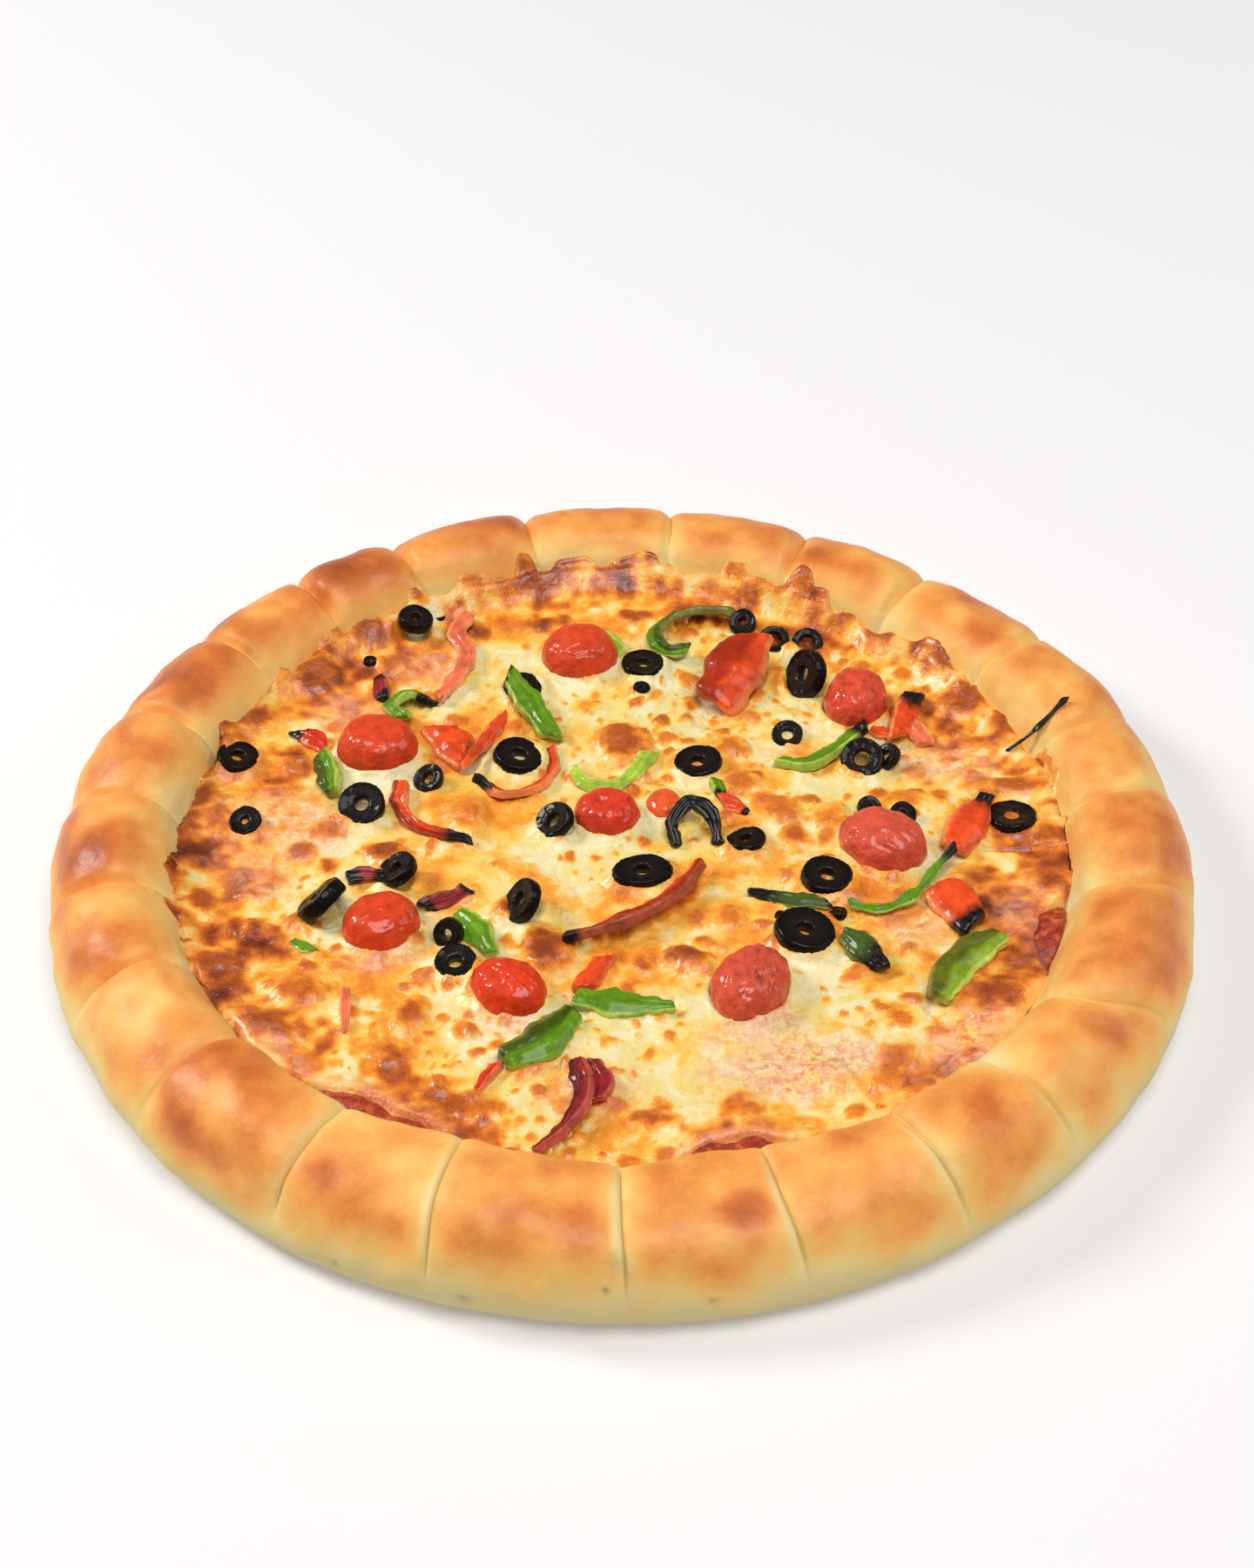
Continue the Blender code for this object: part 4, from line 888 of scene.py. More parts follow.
class CheeseForm:
    """The melted surface, on a square grid bent into a disc that ends at the cheese's edge."""

    def __init__(self, form):
        line = np.linspace(-1, 1, CHEESE_GRID)
        u, v = np.meshgrid(line, line)
        wide = np.abs(u) > np.abs(v)
        rho = np.where(wide, u, v)
        with np.errstate(divide="ignore", invalid="ignore"):
            phi = np.where(wide, math.pi / 4 * v / u, math.pi / 2 - math.pi / 4 * u / v)
        phi = np.where(np.isfinite(phi), phi, 0.0)
        x, y = rho * np.cos(phi), rho * np.sin(phi)
        share = np.hypot(x, y)
        degrees = np.degrees(np.arctan2(y, x)) % 360
        fine = np.arange(0, 360, 0.25)
        held, free, bands = self.edges(form, fine)
        edge = held + (free - held) * bands
        knob = np.zeros_like(fine)
        for middle, reach, half in EDGE_REACH:
            share_here = np.exp(-(degrees_apart(fine, middle) / (1.25 * half)) ** 4)
            edge += 0.62 * reach * share_here
            knob = np.maximum(knob, share_here * min(1.0, reach / 4))
        px, py = 135 * np.cos(np.radians(fine)), 135 * np.sin(np.radians(fine))
        ragged = sum(amount * fractal(px, py, 0 * fine, *grain) for amount, *grain in RAGGED)
        # Where the rim's inner face is steep, at the front, the edge is nearly even
        even = 1 - smooth(40, 75, degrees_apart(fine, FRONT))
        edge += (ragged * (1 + 0.2 * bands) + 0.6) * (1 - 0.85 * even * (1 - bands))
        edge = np.minimum(edge, EDGE_LIMIT)

        def round_the_edge(values, last):
            return np.interp(degrees, np.append(fine, 360.0), np.append(values, last))

        limit = round_the_edge(edge, edge[0])
        held_here = round_the_edge(held + (free - held) * bands, 0)
        self.bands = round_the_edge(bands, bands[0])
        self.knob = round_the_edge(knob, knob[0])
        radius = PLAIN_RADIUS * share + (limit - PLAIN_RADIUS) * smooth(0.80, 1.0, share)
        a = np.radians(degrees)
        self.x, self.y = radius * np.cos(a), radius * np.sin(a)
        self.radius, self.degrees = radius, degrees
        self.inside = limit - radius
        level, self.toast = cheese_level(self.x, self.y)
        slope, bare = form.inner_slope(degrees, radius), form.inner_slope(degrees, radius, False)
        slope = bare + (slope - bare) * smooth(1.0, 6.0, self.inside)
        sauce = sauce_height(radius, self.bands)
        support = np.maximum(slope, sauce)
        edge_top = FLOOR_TOP + round_the_edge(climb_height(fine), 0)
        band_top = sauce_height(held_here, self.bands) + 2.4
        edge_top = edge_top + (band_top - edge_top) * self.bands
        back = 1 - smooth(0.0, CHEESE_FILLET, held_here - radius)
        fillet = level + (edge_top - level) * back
        fillet += 0.5 * noise(self.x, self.y, 0 * self.x, 5, 61) * back
        film = support + CHEESE_LIP + 0.35 * fractal(self.x, self.y, 0 * self.x, 5, 2, 62)
        raw = np.where(radius > held_here, film, np.maximum(fillet, film))
        q = np.clip(self.inside / CHEESE_LIP_WIDTH, 0, 1)
        rounding = np.sqrt(np.maximum(0, 1 - (1 - q) ** 2))
        self.z = support - SINK * (1 - rounding) + (raw - support) * rounding
        self.reach_up = smooth(-4, 6, radius - held_here + 3)

    def edges(self, form, fine):
        """Radius of the edge where the rim holds it, where it is free, and the share of the bands."""
        bands, width = band_share(fine)
        top = FLOOR_TOP + climb_height(fine)
        held = np.empty_like(fine)
        for i, degrees in enumerate(fine):
            c = np.argmin(degrees_apart(form.degrees, degrees))
            held[i] = np.interp(top[i], form.height[:CROWN_ROWS, c], form.radius[:CROWN_ROWS, c])
        # The least radius within three degrees to each side, so that the edge follows no slit
        near = 12
        wide = np.concatenate([held[-near:], held, held[:near]])
        held = np.array([wide[k:k + 2 * near + 1].min() for k in range(len(held))]) - 0.6
        foot = CRUST_SECTION[0][0] - drawn_in(fine) - 1.6 - width
        return held, foot - 0.8, bands

    def hug(self, groups):
        """Raise the cheese where it meets each group of toppings."""
        places = np.stack([self.x, self.y, self.z], -1).reshape(-1, 3)
        lift = np.zeros(len(places))
        for items, (reach, rise) in groups:
            shapes = surface_of(items)
            for i, p in enumerate(places):
                found = shapes.find_nearest(Vector(p), reach)
                if found[0] is not None:
                    lift[i] = max(lift[i], rise * (1 - found[3] / reach) ** 2)
        lift = lift.reshape(self.x.shape)
        for _ in range(2):
            lift[1:-1, 1:-1] = (
                2 * lift[1:-1, 1:-1] + lift[2:, 1:-1] + lift[:-2, 1:-1] + lift[1:-1, 2:] + lift[1:-1, :-2]
            ) / 6
        self.z = self.z + lift * smooth(0, 4, self.inside)


def cheese_looks(cheese):
    """How toasted, how reddened and how faded into the dough's colour the cheese is."""
    x, y, inside = cheese.x, cheese.y, cheese.inside
    blotch = 1.25 * fractal(x, y, 0 * x, 13, 4, 72) + 0.35 * noise(x, y, 0 * x, 3.2, 74)
    wobble = 0.40 * fractal(x, y, 0 * x, 11, 4, 71)
    # The outer zone is browned most, but little at the front
    quiet = np.exp(-(degrees_apart(cheese.degrees, 280) / 38) ** 2)
    outer = smooth(84, 118, cheese.radius) * (1 - 0.5 * quiet)
    back = np.exp(-(degrees_apart(cheese.degrees, 75) / 62) ** 2)
    zones = (
        (outer, 0.44 + 0.62 * blotch),
        (1 - smooth(1.0, 12.0, inside), 0.38 + 0.62 * blotch),
        (cheese.reach_up, 0.34 + 0.62 * blotch + 0.14 * back),
        (cheese.knob * (1 - smooth(3.0, 11.0, inside)), 0.60 + 0.25 * blotch),
        (cheese.bands * (1 - smooth(2.0, 15.0, inside)), 0.44 + 0.5 * blotch),
        (cheese.bands * (1 - smooth(1.5, 6.0, inside)), 0.56 + 0.3 * blotch),
    )
    toast = np.maximum(cheese.toast, 0.16 + 0.56 * fractal(x, y, 0 * x, 19, 4, 73))
    for share, browning in zones:
        toast = np.maximum(toast, share * browning)
    pulp = 1 - smooth(0.5, 1.2, ellipse(x, y, *PULP) + 2.0 * wobble)
    toast = toast * (1 - 0.65 * pulp) + 0.03 * pulp
    red = 0.45 * cheese.bands * (1 - smooth(1.0, 10.0, inside + 2.0 * blotch))
    for cx, cy, long, wide, turn, amount in REDDISH:
        q = ellipse(x, y, cx, cy, long, wide, turn) + wobble
        red = np.maximum(red, amount * (1 - smooth(0.4, 1.3, q)))
    fade = 1 - smooth(0.5, 7.5, inside + 3.0 * fractal(x, y, 0 * x, 7, 3, 75))
    return toast, red, fade * (1 - cheese.bands) * (1 - 0.85 * cheese.knob)


def build_cheese(cheese, material):
    top = np.stack([cheese.x, cheese.y, cheese.z], -1).reshape(-1, 3)
    n = CHEESE_GRID
    index = np.arange(n * n).reshape(n, n)
    faces = np.stack([index[:-1, :-1], index[:-1, 1:], index[1:, 1:], index[1:, :-1]], -1)
    faces = faces.reshape(-1, 4).tolist()
    # A wall and a flat face under the cheese close it
    border = np.concatenate([index[0, :-1], index[:-1, -1], index[-1, :0:-1], index[:0:-1, 0]])
    low = top[border].copy()
    low[:, :2] *= (CHEESE_FOOT / np.hypot(low[:, 0], low[:, 1]))[:, None]
    low[:, 2] = SAUCE_TOP + 0.3
    start = len(top)
    count = len(border)
    for k in range(count):
        after = (k + 1) % count
        faces.append([int(border[k]), int(border[after]), start + after, start + k])
    faces.append(list(range(start, start + count)))
    fields = {
        name: np.concatenate([values.ravel(), values.ravel()[border]])
        for name, values in zip(("toast", "red", "fade"), cheese_looks(cheese))
    }
    return add_piece(
        "cheese_dressed", np.concatenate([top, low]), faces, material, ["cheese"], fields,
    )


# Toppings

def turned(points, turn):
    return np.asarray(points) @ np.array(turn.to_matrix()).T


def rest(node, coarse, fine):
    """Move a shape so that it lies where its solid lies."""
    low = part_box(node)[0].z / MM
    return fine + np.array([0, 0, low - coarse[:, 2].min()])


def ring_points(section, sides, long, wide, hole=None):
    """Rings of points from a section of (share, rise)."""
    t = np.arange(sides) * math.tau / sides
    rings = []
    for share, rise in section:
        if hole is None:
            sx, sy = share * long, share * wide
        else:
            sx, sy = hole + (long - hole) * share, hole + (wide - hole) * share
        rings.append(np.stack([np.cos(t) * sx, np.sin(t) * sy, np.full(sides, rise)], -1))
    return np.concatenate(rings)


# How much of each side is cut off at a corner
CORNER_CUT = 0.22


def rounded(corners):
    """A closed outline with its corners cut."""
    corners = np.asarray(corners, float)
    after = np.roll(corners, -1, 0)
    near = corners * (1 - CORNER_CUT) + after * CORNER_CUT
    far = corners * CORNER_CUT + after * (1 - CORNER_CUT)
    return np.stack([near, far], 1).reshape(-1, 2)


TOMATO_SIDES = 132
TOMATO_ROWS = 54
# Skin look of each tomato: wrinkle depth, dimple depth, flatness, char amount, colour
TOMATO_LOOKS = (
    (0.30, 0.0, 0.0, 0.0, (0.70, 0.060, 0.014)),
    (0.35, 0.0, 0.0, 0.0, (0.70, 0.062, 0.016)),
    (0.40, 2.4, 0.0, 0.0, (0.70, 0.045, 0.016)),
    (0.25, 0.0, 0.0, 0.0, (0.70, 0.056, 0.012)),
    (0.40, 0.0, 0.0, 0.0, (0.72, 0.046, 0.008)),
    (0.55, 0.0, 0.4, 0.5, (0.66, 0.085, 0.040)),
    (0.50, 0.0, 0.2, 0.0, (0.70, 0.090, 0.045)),
    (0.45, 0.0, 0.0, 0.3, (0.70, 0.070, 0.030)),
    (0.12, 0.0, 0.0, 0.2, (0.82, 0.110, 0.018)),
)


def build_tomato(number, row, look, material):
    x, y, long, wide, height, turn, lean = row
    wrinkle, dimple, flat, burn, colour = look
    spin = Euler((math.radians(lean), 0, math.radians(turn)))
    coarse = turned(ring_points([(s, r * height) for s, r in DOME_SECTION], 12, long, wide), spin)
    t = np.linspace(0, 4, TOMATO_ROWS)
    profile = spline(list(DOME_SECTION) + [(0.0, 1.0)], t)
    profile[:, 0] = np.maximum(profile[:, 0], 0.02)
    section = [(s, r * height) for s, r in profile]
    shape = ring_points(section, TOMATO_SIDES, long, wide)
    px, py, pz = shape[:, 0] + 50 * number, shape[:, 1], shape[:, 2]
    radial = shape / np.linalg.norm(shape / [long, wide, height] + 1e-9, axis=1)[:, None]
    out = radial / np.linalg.norm(radial, axis=1)[:, None]
    crumple = 1.5 * fractal(px, py, pz * 0.6, 4.2, 3, 81)
    folds = np.abs(fractal(px * 0.6, py * 1.5, pz, 4.5, 2, 82))
    move = 1.3 * wrinkle * (0.8 * crumple - 0.6 * (1 - smooth(0.0, 0.30, folds)))
    # Fine crinkles in the loosened skin, with smooth places between
    loose = smooth(-0.30, 0.20, noise(px, py, pz, 8, 86))
    move += 0.26 * loose * fractal(px, py, pz, 2.0, 2, 85)
    away = np.hypot(shape[:, 0] + 0.12 * long, shape[:, 1] - 0.1 * wide)
    move -= dimple * np.exp(-(away / 2.6) ** 2)
    move -= flat * smooth(0.5, 1.0, pz / height)
    shape = shape + out * move[:, None] * smooth(0.0, 0.3, pz / height)[:, None]
    paint = np.tile(np.array(colour), (len(shape), 1))
    tone = 1 + 0.22 * fractal(px, py, pz, 7, 2, 83)
    paint *= tone[:, None]
    pale = smooth(0.35, 0.0, pz / height)
    paint += pale[:, None] * np.array([0.10, 0.08, 0.02])
    char = burn * smooth(0.15, 0.55, fractal(px, py, pz, 3.2, 3, 84)) * smooth(0.7, 0.95, pz / height)
    paint = paint * (1 - char[:, None]) + np.array(CHAR) * char[:, None]
    shape = rest(f"tomato_{number}", coarse, turned(shape, spin)) + np.array([x, y, 0])
    faces = capped(TOMATO_ROWS, TOMATO_SIDES)
    return add_piece(
        f"tomato_dressed_{number}", shape, faces, material, [f"tomato_{number}"], paint=paint,
    )


OLIVE_SIDES = 72
# A finer outline of a slice: share of the way from hole to skin, share of half the thickness
OLIVE_OUTLINE = (
    (1.0, 0.0), (0.985, 0.45), (0.94, 0.80), (0.86, 0.98), (0.72, 0.90), (0.45, 0.80), (0.22, 0.84),
    (0.06, 0.72), (0.0, 0.40), (0.0, -0.40), (0.06, -0.72), (0.22, -0.84), (0.45, -0.80),
    (0.72, -0.90), (0.86, -0.98), (0.94, -0.80), (0.985, -0.45),
)


def olive_mesh(long, wide, hole, thickness, seed):
    """A slice of olive with a rounded, ribbed skin and a hole."""
    section = rounded([(s, r * thickness / 2) for s, r in OLIVE_OUTLINE])
    # Keep the full width that rounding took off
    section[:, 0] = (section[:, 0] - section[:, 0].min()) / np.ptp(section[:, 0])
    section[:, 1] *= thickness / np.ptp(section[:, 1])
    shape = ring_points(section, OLIVE_SIDES, long, wide, hole)
    outer = np.repeat(section[:, 0], OLIVE_SIDES)
    px, py, pz = shape[:, 0] + 40 * seed, shape[:, 1], shape[:, 2]
    angle = np.arctan2(shape[:, 1], shape[:, 0])
    rib = 0.10 * np.sin(angle * 26 + seed) * smooth(0.55, 0.95, outer)
    rough = 0.30 * fractal(px, py, pz, 3.4, 3, 91)
    bend = 0.35 * noise(px, py, 0 * pz, 7, 92)
    length = np.hypot(shape[:, 0], shape[:, 1])[:, None]
    shape[:, :2] += shape[:, :2] / length * (rib + rough)[:, None]
    shape[:, 2] += bend + 0.30 * fractal(px, py, 0 * pz, 2.2, 3, 93) * (1 - smooth(0.9, 1.0, outer))
    tone = smooth(0.2, 1.0, outer)[:, None]
    skin, flesh = (np.array(colour) for colour in LOOK_COLOURS["olive"])
    paint = flesh * (1 - tone) + skin * tone
    return shape, looped(len(section), OLIVE_SIDES), paint


def build_olives(material):
    rows = [(f"olive_{k}", (x, y), (r, r, h, th), (lean, to))
            for k, (x, y, r, h, th, lean, to) in enumerate(OLIVES, 1)]
    x, y, long, wide, hole, thickness, towards = LONG_OLIVE
    rows.append(("olive_long", (x, y), (long, wide, hole, thickness), (0, towards)))
    made = []
    for seed, (node, place, (long, wide, hole, thickness), (lean, towards)) in enumerate(rows):
        spin = Euler((0, math.radians(lean), math.radians(towards)))
        section = [(s, r * thickness / 2) for s, r in OLIVE_SECTION]
        coarse = turned(ring_points(section, 12, long, wide, hole), spin)
        shape, faces, paint = olive_mesh(long, wide, hole, thickness, seed)
        shape = rest(node, coarse, turned(shape, spin)) + np.array([*place, 0])
        made.append(add_piece(f"{node}_dressed", shape, faces, material, [node], paint=paint))
    return made


STRIP_FINE = 16


def strip_frames(track):
    """Directions along, to the side and up at each point of a track."""
    padded = np.concatenate([track[:1], track, track[-1:]])
    along = padded[2:] - padded[:-2]
    along /= np.linalg.norm(along, axis=1)[:, None]
    side = np.cross([0, 0, 1], along)
    side /= np.linalg.norm(side, axis=1)[:, None]
    return along, side, np.cross(along, side)


def strip_rings(track, widths, thickness, roll, section):
    """Rings swept along a track; the section is (across, share of arch, share of thickness)."""
    along, side, up = strip_frames(track)
    share = 2 * np.arange(len(track)) / (len(track) - 1)
    half = widths[0] + (widths[1] - widths[0]) * smooth(0, 1, share)
    half = half + (widths[2] - widths[1]) * smooth(1, 2, share)
    arch = half * ARCH * np.minimum(1.0, half / WIDE_STRIP)
    c, s = math.cos(math.radians(roll)), math.sin(math.radians(roll))
    side, up = side * c + up * s, up * c - side * s
    rings = [
        track + side * (across * half)[:, None] + up * (bow * arch + high * thickness)[:, None]
        for across, bow, high in section
    ]
    return np.stack(rings, 1), along, side, up, half


COARSE_STRIP = ((-1, 0, 0), (0, 1, 0), (1, 0, 0), (1, 0, 1), (0, 1, 1), (-1, 0, 1))


def strip_section():
    """The strip's outline, rounded: (across, share of arch, share of thickness)."""
    steps = [k / 4 - 1 for k in range(8)]
    outline = [(a, 0.0) for a in steps] + [(1.0, 0.0), (1.0, 0.5), (1.0, 1.0)]
    outline += [(-a, 1.0) for a in steps[1:]] + [(-1.0, 1.0), (-1.0, 0.5)]
    return [(a, 1 - a * a, h) for a, h in rounded(outline)]


def strip_shape(rings, frames, half, steps, sect, seed, picker):
    """The rings made uneven, with slanted ends and a short taper, and where they were before the sway."""
    along, side, up = frames
    length = steps[-1]
    uneven = 1 + 0.20 * noise(steps + 37 * seed, 0 * steps, 0 * steps, 5.0, 105)
    uneven = uneven + 0.10 * noise(steps + 37 * seed, 0 * steps, 0 * steps, 1.8, 106)
    uneven = 1 + (uneven - 1) * np.minimum(1, 4 / half)
    centre = rings.mean(1, keepdims=True)
    rings = centre + (rings - centre) * uneven[:, None, None]
    taper = np.minimum(1, np.minimum(steps, length - steps) / np.maximum(0.9, 0.55 * half) + 0.30)
    taper = np.sqrt(1 - (1 - taper) ** 2)
    rings = centre + (rings - centre) * taper[:, None, None]
    slants = picker.uniform(-0.9, 0.9), picker.uniform(-0.9, 0.9)
    reach = min(5.0, length * 0.3)
    pull = slants[0] * (1 - smooth(0, reach, steps)) + slants[1] * (1 - smooth(0, reach, length - steps))
    rings = rings + along[:, None, :] * (pull * np.minimum(half, 4))[:, None, None] * sect[None, :, :1]
    px, py, pz = rings[..., 0] + 60 * seed, rings[..., 1], rings[..., 2]
    edge = np.abs(sect[:, 0])[None, :] ** 3
    sway = 0.65 * noise(px, py, pz, 6, 101) + 0.30 * noise(px, py, pz, 2.4, 102)
    sway = sway * np.minimum(1, 4 / half)[:, None]
    wave = np.sin(sect[None, :, 0] * 8 + 2.2 * noise(px, py, pz, 7, 107) + seed)
    ridge = 0.12 * wave * sect[None, :, 1] * 2
    rings = rings + up[:, None, :] * (sway * 0.7 + np.minimum(half, 3)[:, None] * 0.3 * ridge)[..., None]
    rings = rings + side[:, None, :] * (np.sign(sect[:, 0])[None, :] * sway * edge)[..., None]
    return rings, (px, py, pz)


# How much the shaded side of a strip loses in red, green and blue
SHADE = (0.52, 0.66, 0.55)


def strip_paint(look, places, steps, sect, seed, picker):
    """A strip's colours: skin and cut flesh, lengthwise streaks that are partly painted highlights, painted
    shade on one side, and char from the ends.
    """
    first, last, kind, shade = look
    px, py, pz = places
    patchy = 2.2 * fractal(px, py, pz, 3.2, 3, 108)
    burn = np.zeros(px.shape)
    for charred, apart in ((first, steps[:, None]), (last, steps[-1] - steps[:, None])):
        if charred:
            burn = np.maximum(burn, 1 - smooth(charred * 0.35, charred * 1.15, apart + patchy))
    skin, flesh = (np.array(colour) for colour in LOOK_COLOURS[kind])
    lean = picker.choice((-1, 1))
    inset = np.where(sect[:, 0] * lean > 0, 0.74, 0.90)
    face = smooth(0.35, 0.8, sect[:, 2]) * (1 - smooth(inset, inset + 0.12, np.abs(sect[:, 0])))
    face = face[None, :, None]
    tone = 1 + 0.40 * fractal(px, py, pz, 6, 4, 103)
    # Lengthwise streaks along the strip: partly the skin's own tone, partly painted highlights along it
    streak_and_highlight = noise(sect[None, :, 0] * 6 + 0 * px, steps[:, None] * 0.16 + 9 * seed, 0 * px, 1.0, 109)
    tone = tone * (1 + 0.16 * streak_and_highlight)
    paint = (skin * face + flesh * (1 - face)) * tone[..., None]
    if shade:
        dusk = smooth(-0.25, 0.25, sect[None, :, 0] * shade + 0.25 * noise(px, py, pz, 5, 110))
        paint = paint * (1 - dusk[..., None] * np.array(SHADE))
    rim = np.exp(-((1 - np.abs(sect[:, 0])) / 0.12) ** 2)[None, :] * smooth(0.5, 0.9, sect[:, 2])[None, :]
    spotty = smooth(0.22, 0.55, fractal(px, py, pz, 4.0, 3, 104))
    black = np.clip(burn * 1.2 + 0.6 * rim * spotty, 0, 1)[..., None]
    return (paint * (1 - black) + np.array(CHAR) * black).reshape(-1, 3)


def build_strip(node, name, row, look, material, seed, lowest=None):
    """A strip that stands for its node or, without one, lies on the cheese from its lowest height."""
    route, widths, thickness, roll = row
    coarse_track = route_points(route, STRIP_SPAN)
    middle = coarse_track.mean(0)
    coarse, *_ = strip_rings(coarse_track - middle, widths, thickness, roll, COARSE_STRIP)
    track = route_points(route, STRIP_FINE) - middle
    section = strip_section()
    rings, along, side, up, half = strip_rings(track, widths, thickness, roll, section)
    steps = np.concatenate([[0], np.cumsum(np.linalg.norm(np.diff(track, axis=0), axis=1))])
    picker = random.Random(seed)
    sect = np.array(section)
    rings, places = strip_shape(rings, (along, side, up), half, steps, sect, seed, picker)
    paint = strip_paint(look, places, steps, sect, seed, picker)
    shape = rings.reshape(-1, 3)
    if node:
        shape = rest(node, coarse.reshape(-1, 3), shape)
    else:
        shape = shape + np.array([0, 0, lowest - shape[:, 2].min()])
    shape = shape + np.array([middle[0], middle[1], 0])
    faces = capped(len(track), len(section))
    return add_piece(name, shape, faces, material, [node] if node else ["cheese"], paint=paint)


def build_strips(green, red):
    kinds = (("green", GREEN_PEPPERS, GREEN_LOOKS, green, 0), ("red", RED_PEPPERS, RED_LOOKS, red, 20))
    return [
        build_strip(
            f"{colour}_pepper_{k}", f"{colour}_pepper_dressed_{k}", row, look, material,
            first_seed + k,
        )
        for colour, rows, looks, material, first_seed in kinds
        for k, (row, look) in enumerate(zip(rows, looks), 1)
    ]


# Small pieces baked into the cheese, which its solid carries as bumps
# Olive bits: x, y, radius, hole radius, thickness, lean, direction of the lean, depth sunk
OLIVE_BITS = (
    (40.5, 109, 4.8, 1.2, 4.4, 34, 250, 1.4), (83.6, 39.6, 4.8, 1.6, 3.4, 38, 200, 1.2),
    (-51.5, -41, 4.8, 1.4, 4.4, 58, 250, 1.8), (-61, 30.6, 5.0, 1.6, 3.2, 26, 230, 1.4),
    (121, 14, 8.4, 2.2, 3.4, 13, 110, 3.1), (53, 53, 5.4, 1.8, 3.4, 20, 260, 2.7),
    (77, 17, 4.0, 0.8, 3.0, 24, 300, 1.2), (87, 13, 4.6, 1.0, 3.0, 12, 270, 1.2),
    (6.4, 76, 2.8, 0.5, 2.4, 12, 0, 0.8), (64.4, -30, 3.0, 0.5, 2.4, 20, 90, 0.8),
    (-117, 11.5, 5.4, 1.2, 3.0, 14, 250, 1.8), (-83, 90, 2.4, 0.4, 2.2, 10, 0, 0.7),
    (-61.5, 114, 1.9, 0.4, 3.0, 0, 0, 0.7), (47.5, -32, 2.0, 0.4, 2.4, 10, 0, 0.6),
)
# Pepper bits: slot colour, route, half widths, thickness, roll, depth sunk, look
PEPPER_BITS = (
    ("red", ((-79.3, 82, 0), (-78.2, 76, 0), (-77.4, 70, 0)),
     (1.8, 2.8, 2.0), 2.2, 30, 0.5, (4, 3, "wine", 0)),
    ("red", ((-104.7, 54, 0), (-99.5, 51, 0), (-94.6, 46, 0)),
     (2.6, 3.4, 2.6), 2.4, 10, 0.5, (5, 0, "red", 0)),
    ("red", ((-83.6, -15.5, 0), (-78, -14, 0), (-72, -15, 0)),
     (2.0, 3.2, 2.2), 2.6, 20, 0.5, (5, 3, "wine", 0)),
    ("red", ((92.7, 58, 0), (95, 53, 0), (97.7, 47.6, 0)),
     (2.4, 3.4, 2.6), 2.6, 12, 0.5, (0, 0, "faded", 0)),
    ("green", ((-10, 104, 0), (-3.6, 101, 0), (0.4, 93, 0)),
     (2.0, 3.0, 2.0), 2.4, 20, 0.5, (0, 0, "lime", 0)),
    ("red", ((31, 20, 0), (35.5, 18, 0), (39.5, 15, 0)),
     (3.2, 2.6, 0.9), 2.6, 10, 0.4, (0, 2, "orange", 0)),
    ("red", ((-35, -91, 0), (-38, -96, 0), (-40.6, -102, 0)),
     (1.2, 1.6, 1.0), 2.0, 20, 0.6, (0, 0, "red", 0)),
    ("green", ((-98, -41, 0), (-94.5, -43.5, 0), (-91, -45, 0)),
     (1.0, 2.0, 1.5), 1.8, 15, 0.5, (0, 0, "green", 0)),
    ("red", ((-80.3, -62, 0), (-80, -70, 0), (-79.3, -79, 0)),
     (0.9, 1.3, 0.8), 1.4, 10, 0.5, (0, 0, "faded", 0)),
    ("red", ((-9.5, -91, 0), (-5.5, -99, 0), (-7, -107, 0)),
     (2.6, 3.6, 2.0), 2.0, 14, 0.2, (0, 0, "wine", 0)),
    ("red", ((78, 57, 0), (82, 54, 0), (86, 53, 0)),
     (1.4, 2.4, 1.6), 2.2, 8, 0.3, (3, 1, "orange", 0)),
    ("green", ((31, 22, 1), (30, 26, 2), (28, 30, 2)),
     (1.2, 1.8, 1.2), 1.8, 20, 0.4, (3, 0, "green", 0)),
)
# The thin charred strand that leans over the rim at the right: x, y, half widths
STRAND = ((122.7, 44.2), (132.1, 46.3), (141.1, 52.3))
STRAND_WIDTHS = (0.35, 0.4, 0.8)
STRAND_THICKNESS = 0.8
# How high each of its points lies above what is below
STRAND_RISES = (1.0, 2.2, 1.6)


def surface_level(x, y):
    return float(cheese_level(np.array([[float(x)]]), np.array([[float(y)]]))[0][0, 0])


def build_bits(form, olive_skin, green, red):
    made = []
    for k, (x, y, radius, hole, thickness, lean, towards, sunk) in enumerate(OLIVE_BITS, 1):
        spin = Euler((0, math.radians(lean), math.radians(towards)))
        shape, faces, paint = olive_mesh(radius, radius * 0.93, hole, thickness, 50 + k)
        shape = turned(shape, spin)
        shape = shape + np.array([x, y, surface_level(x, y) - sunk - shape[:, 2].min()])
        made.append(add_piece(
            f"olive_bit_{k}", shape, faces, olive_skin, ["cheese"], paint=paint,
        ))
    for k, (slot, route, widths, thickness, roll, sunk, look) in enumerate(PEPPER_BITS, 1):
        lowest = surface_level(*route[1][:2]) - sunk
        material = green if slot == "green" else red
        made.append(build_strip(
            None, f"{slot}_pepper_bit_{k}", (route, widths, thickness, roll), look, material,
            60 + k, lowest,
        ))
    place = np.array(STRAND)
    heights = form.inner_slope(np.degrees(np.arctan2(place[:, 1], place[:, 0])), np.hypot(*place.T))
    heights = np.maximum(heights, surface_level(*STRAND[0])) + STRAND_RISES
    route = [(x, y, z) for (x, y), z in zip(STRAND, heights)]
    made.append(build_strip(
        None, "charred_strand", (route, STRAND_WIDTHS, STRAND_THICKNESS, 0), (60, 60, "black", 0), red,
        90, heights[0],
    ))
    return made


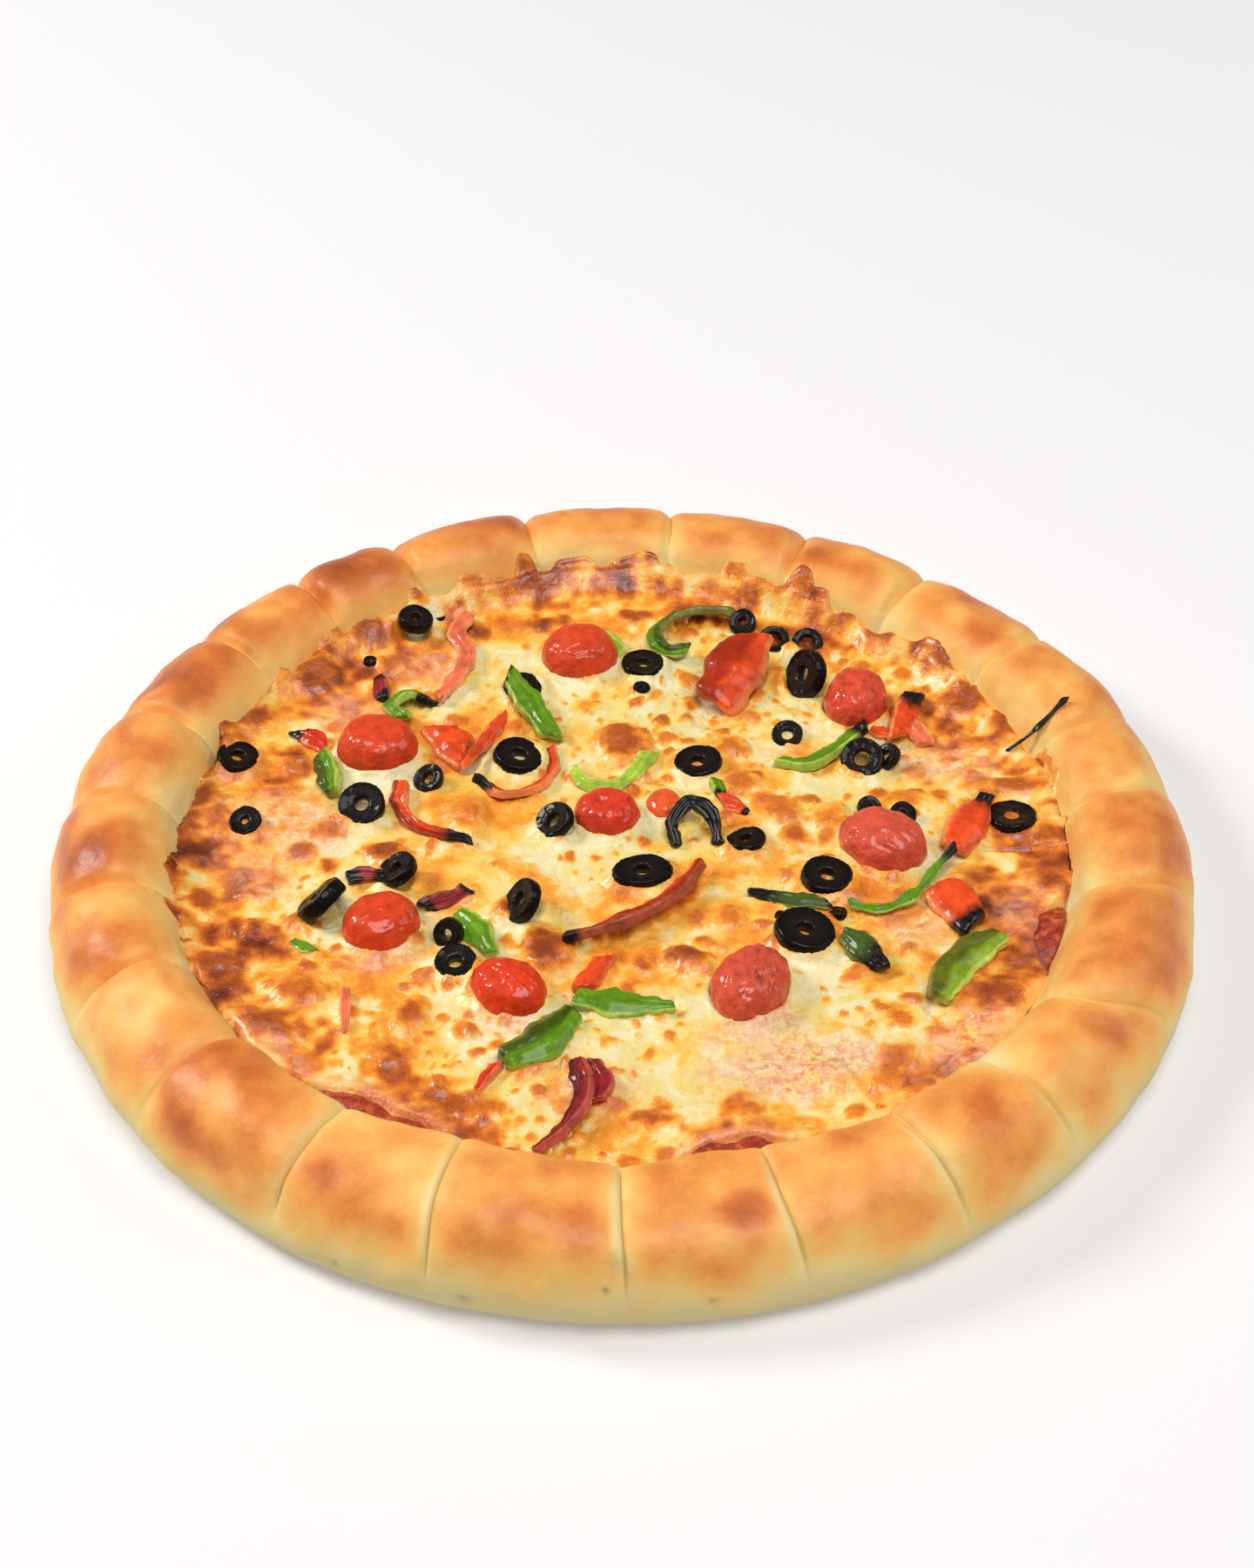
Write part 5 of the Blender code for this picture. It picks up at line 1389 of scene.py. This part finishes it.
def surface_of(items):
    """The surface of several pieces in millimetres, for finding what is near."""
    points, faces = [], []
    for item in items:
        base = len(points)
        points += [v.co / MM for v in item.data.vertices]
        faces += [[base + i for i in p.vertices] for p in item.data.polygons]
    return BVHTree.FromPolygons(points, faces)


# The stage

FLOOR_SIZE = 8
FLOOR_COLOUR = (0.615, 0.605, 0.605, 1.0)
FLOOR_GLOW = (1.0, 0.99, 0.99, 1.0)
FLOOR_GLOW_STRENGTH = 0.22
# Disc lights: name, place, size, power, colour
LIGHTS = (
    ("key", (-1.5, 0.5, 1.2), 0.6, 25, (1.0, 0.985, 0.96)),
    ("top", (0.3, -0.75, 2.5), 1.8, 50, (1.0, 0.99, 0.98)),
    ("side", (1.6, 0.1, 1.3), 1.2, 8, (0.98, 0.99, 1.0)),
)
ROOM_STRENGTH = 0.13
CAMERA_PLACE = (0, -0.6555, 0.6167)
CAMERA_AIM = (0.0015, 0.0487, 0)
CAMERA_LENS = 66.38
SENSOR_HEIGHT = 36


def build_floor():
    bpy.ops.mesh.primitive_plane_add(size=FLOOR_SIZE, location=(0, 0, -0.0004))
    floor = bpy.context.object
    floor.name = "floor"
    g = Graph("pale_floor", Specular_IOR_Level=0.1)
    g.shader.inputs["Base Color"].default_value = FLOOR_COLOUR
    g.shader.inputs["Roughness"].default_value = 0.9
    g.shader.inputs["Emission Color"].default_value = FLOOR_GLOW
    g.shader.inputs["Emission Strength"].default_value = FLOOR_GLOW_STRENGTH
    floor.data.materials.append(g.material)


def point_at(item, target):
    """Turn a light or the camera towards a place."""
    aim = Vector(target) - item.location
    item.rotation_euler = aim.to_track_quat("-Z", "Y").to_euler()


def build_lights():
    for name, place, size, power, colour in LIGHTS:
        lamp = bpy.data.lights.new(name, "AREA")
        lamp.shape = "DISK"
        lamp.size = size
        lamp.energy = power
        lamp.color = colour
        item = bpy.data.objects.new(name, lamp)
        item.location = place
        point_at(item, (0, 0, 0))
        bpy.context.scene.collection.objects.link(item)
    world = bpy.data.worlds.new("soft_room")
    bpy.context.scene.world = world
    world.use_nodes = True
    background = world.node_tree.nodes["Background"]
    background.inputs["Color"].default_value = (1.0, 1.0, 1.0, 1.0)
    background.inputs["Strength"].default_value = ROOM_STRENGTH
    bpy.context.scene.view_settings.view_transform = "Standard"


def build_camera():
    camera = bpy.data.cameras.new("camera")
    camera.sensor_fit = "VERTICAL"
    camera.sensor_height = SENSOR_HEIGHT
    camera.lens = CAMERA_LENS
    eye = bpy.data.objects.new("camera", camera)
    eye.location = CAMERA_PLACE
    point_at(eye, CAMERA_AIM)
    bpy.context.scene.collection.objects.link(eye)
    bpy.context.scene.camera = eye


# Finishes of the toppings: grain size, bump depth, roughness, specular level, coat
FINISHES = {
    "tomato_skin": (2.8, 0.6, 0.36, 0.10, 0.60),
    "olive_skin": (2.0, 0.35, 0.34, 0.08, 0.22),
    "green_pepper_skin": (3.0, 0.45, 0.32, 0.12, 0.34),
    "red_pepper_skin": (3.4, 0.45, 0.32, 0.12, 0.36),
}


def main():
    form = CrustForm()
    build_crust(form, crust_material())
    build_sauce(form, sauce_material())
    skins = (topping_material(name, *finish) for name, finish in FINISHES.items())
    tomato_skin, olive_skin, green, red = skins
    toppings = [
        build_tomato(k, row, look, tomato_skin)
        for k, (row, look) in enumerate(zip(TOMATOES, TOMATO_LOOKS), 1)
    ]
    toppings += build_olives(olive_skin)
    strips = build_strips(green, red)
    bits = build_bits(form, olive_skin, green, red)
    cheese = CheeseForm(form)
    cheese.hug(((toppings, TOPPING_HUG), (strips, STRIP_HUG), (bits, BIT_HUG)))
    build_cheese(cheese, cheese_material())
    build_floor()
    build_lights()
    build_camera()


main()
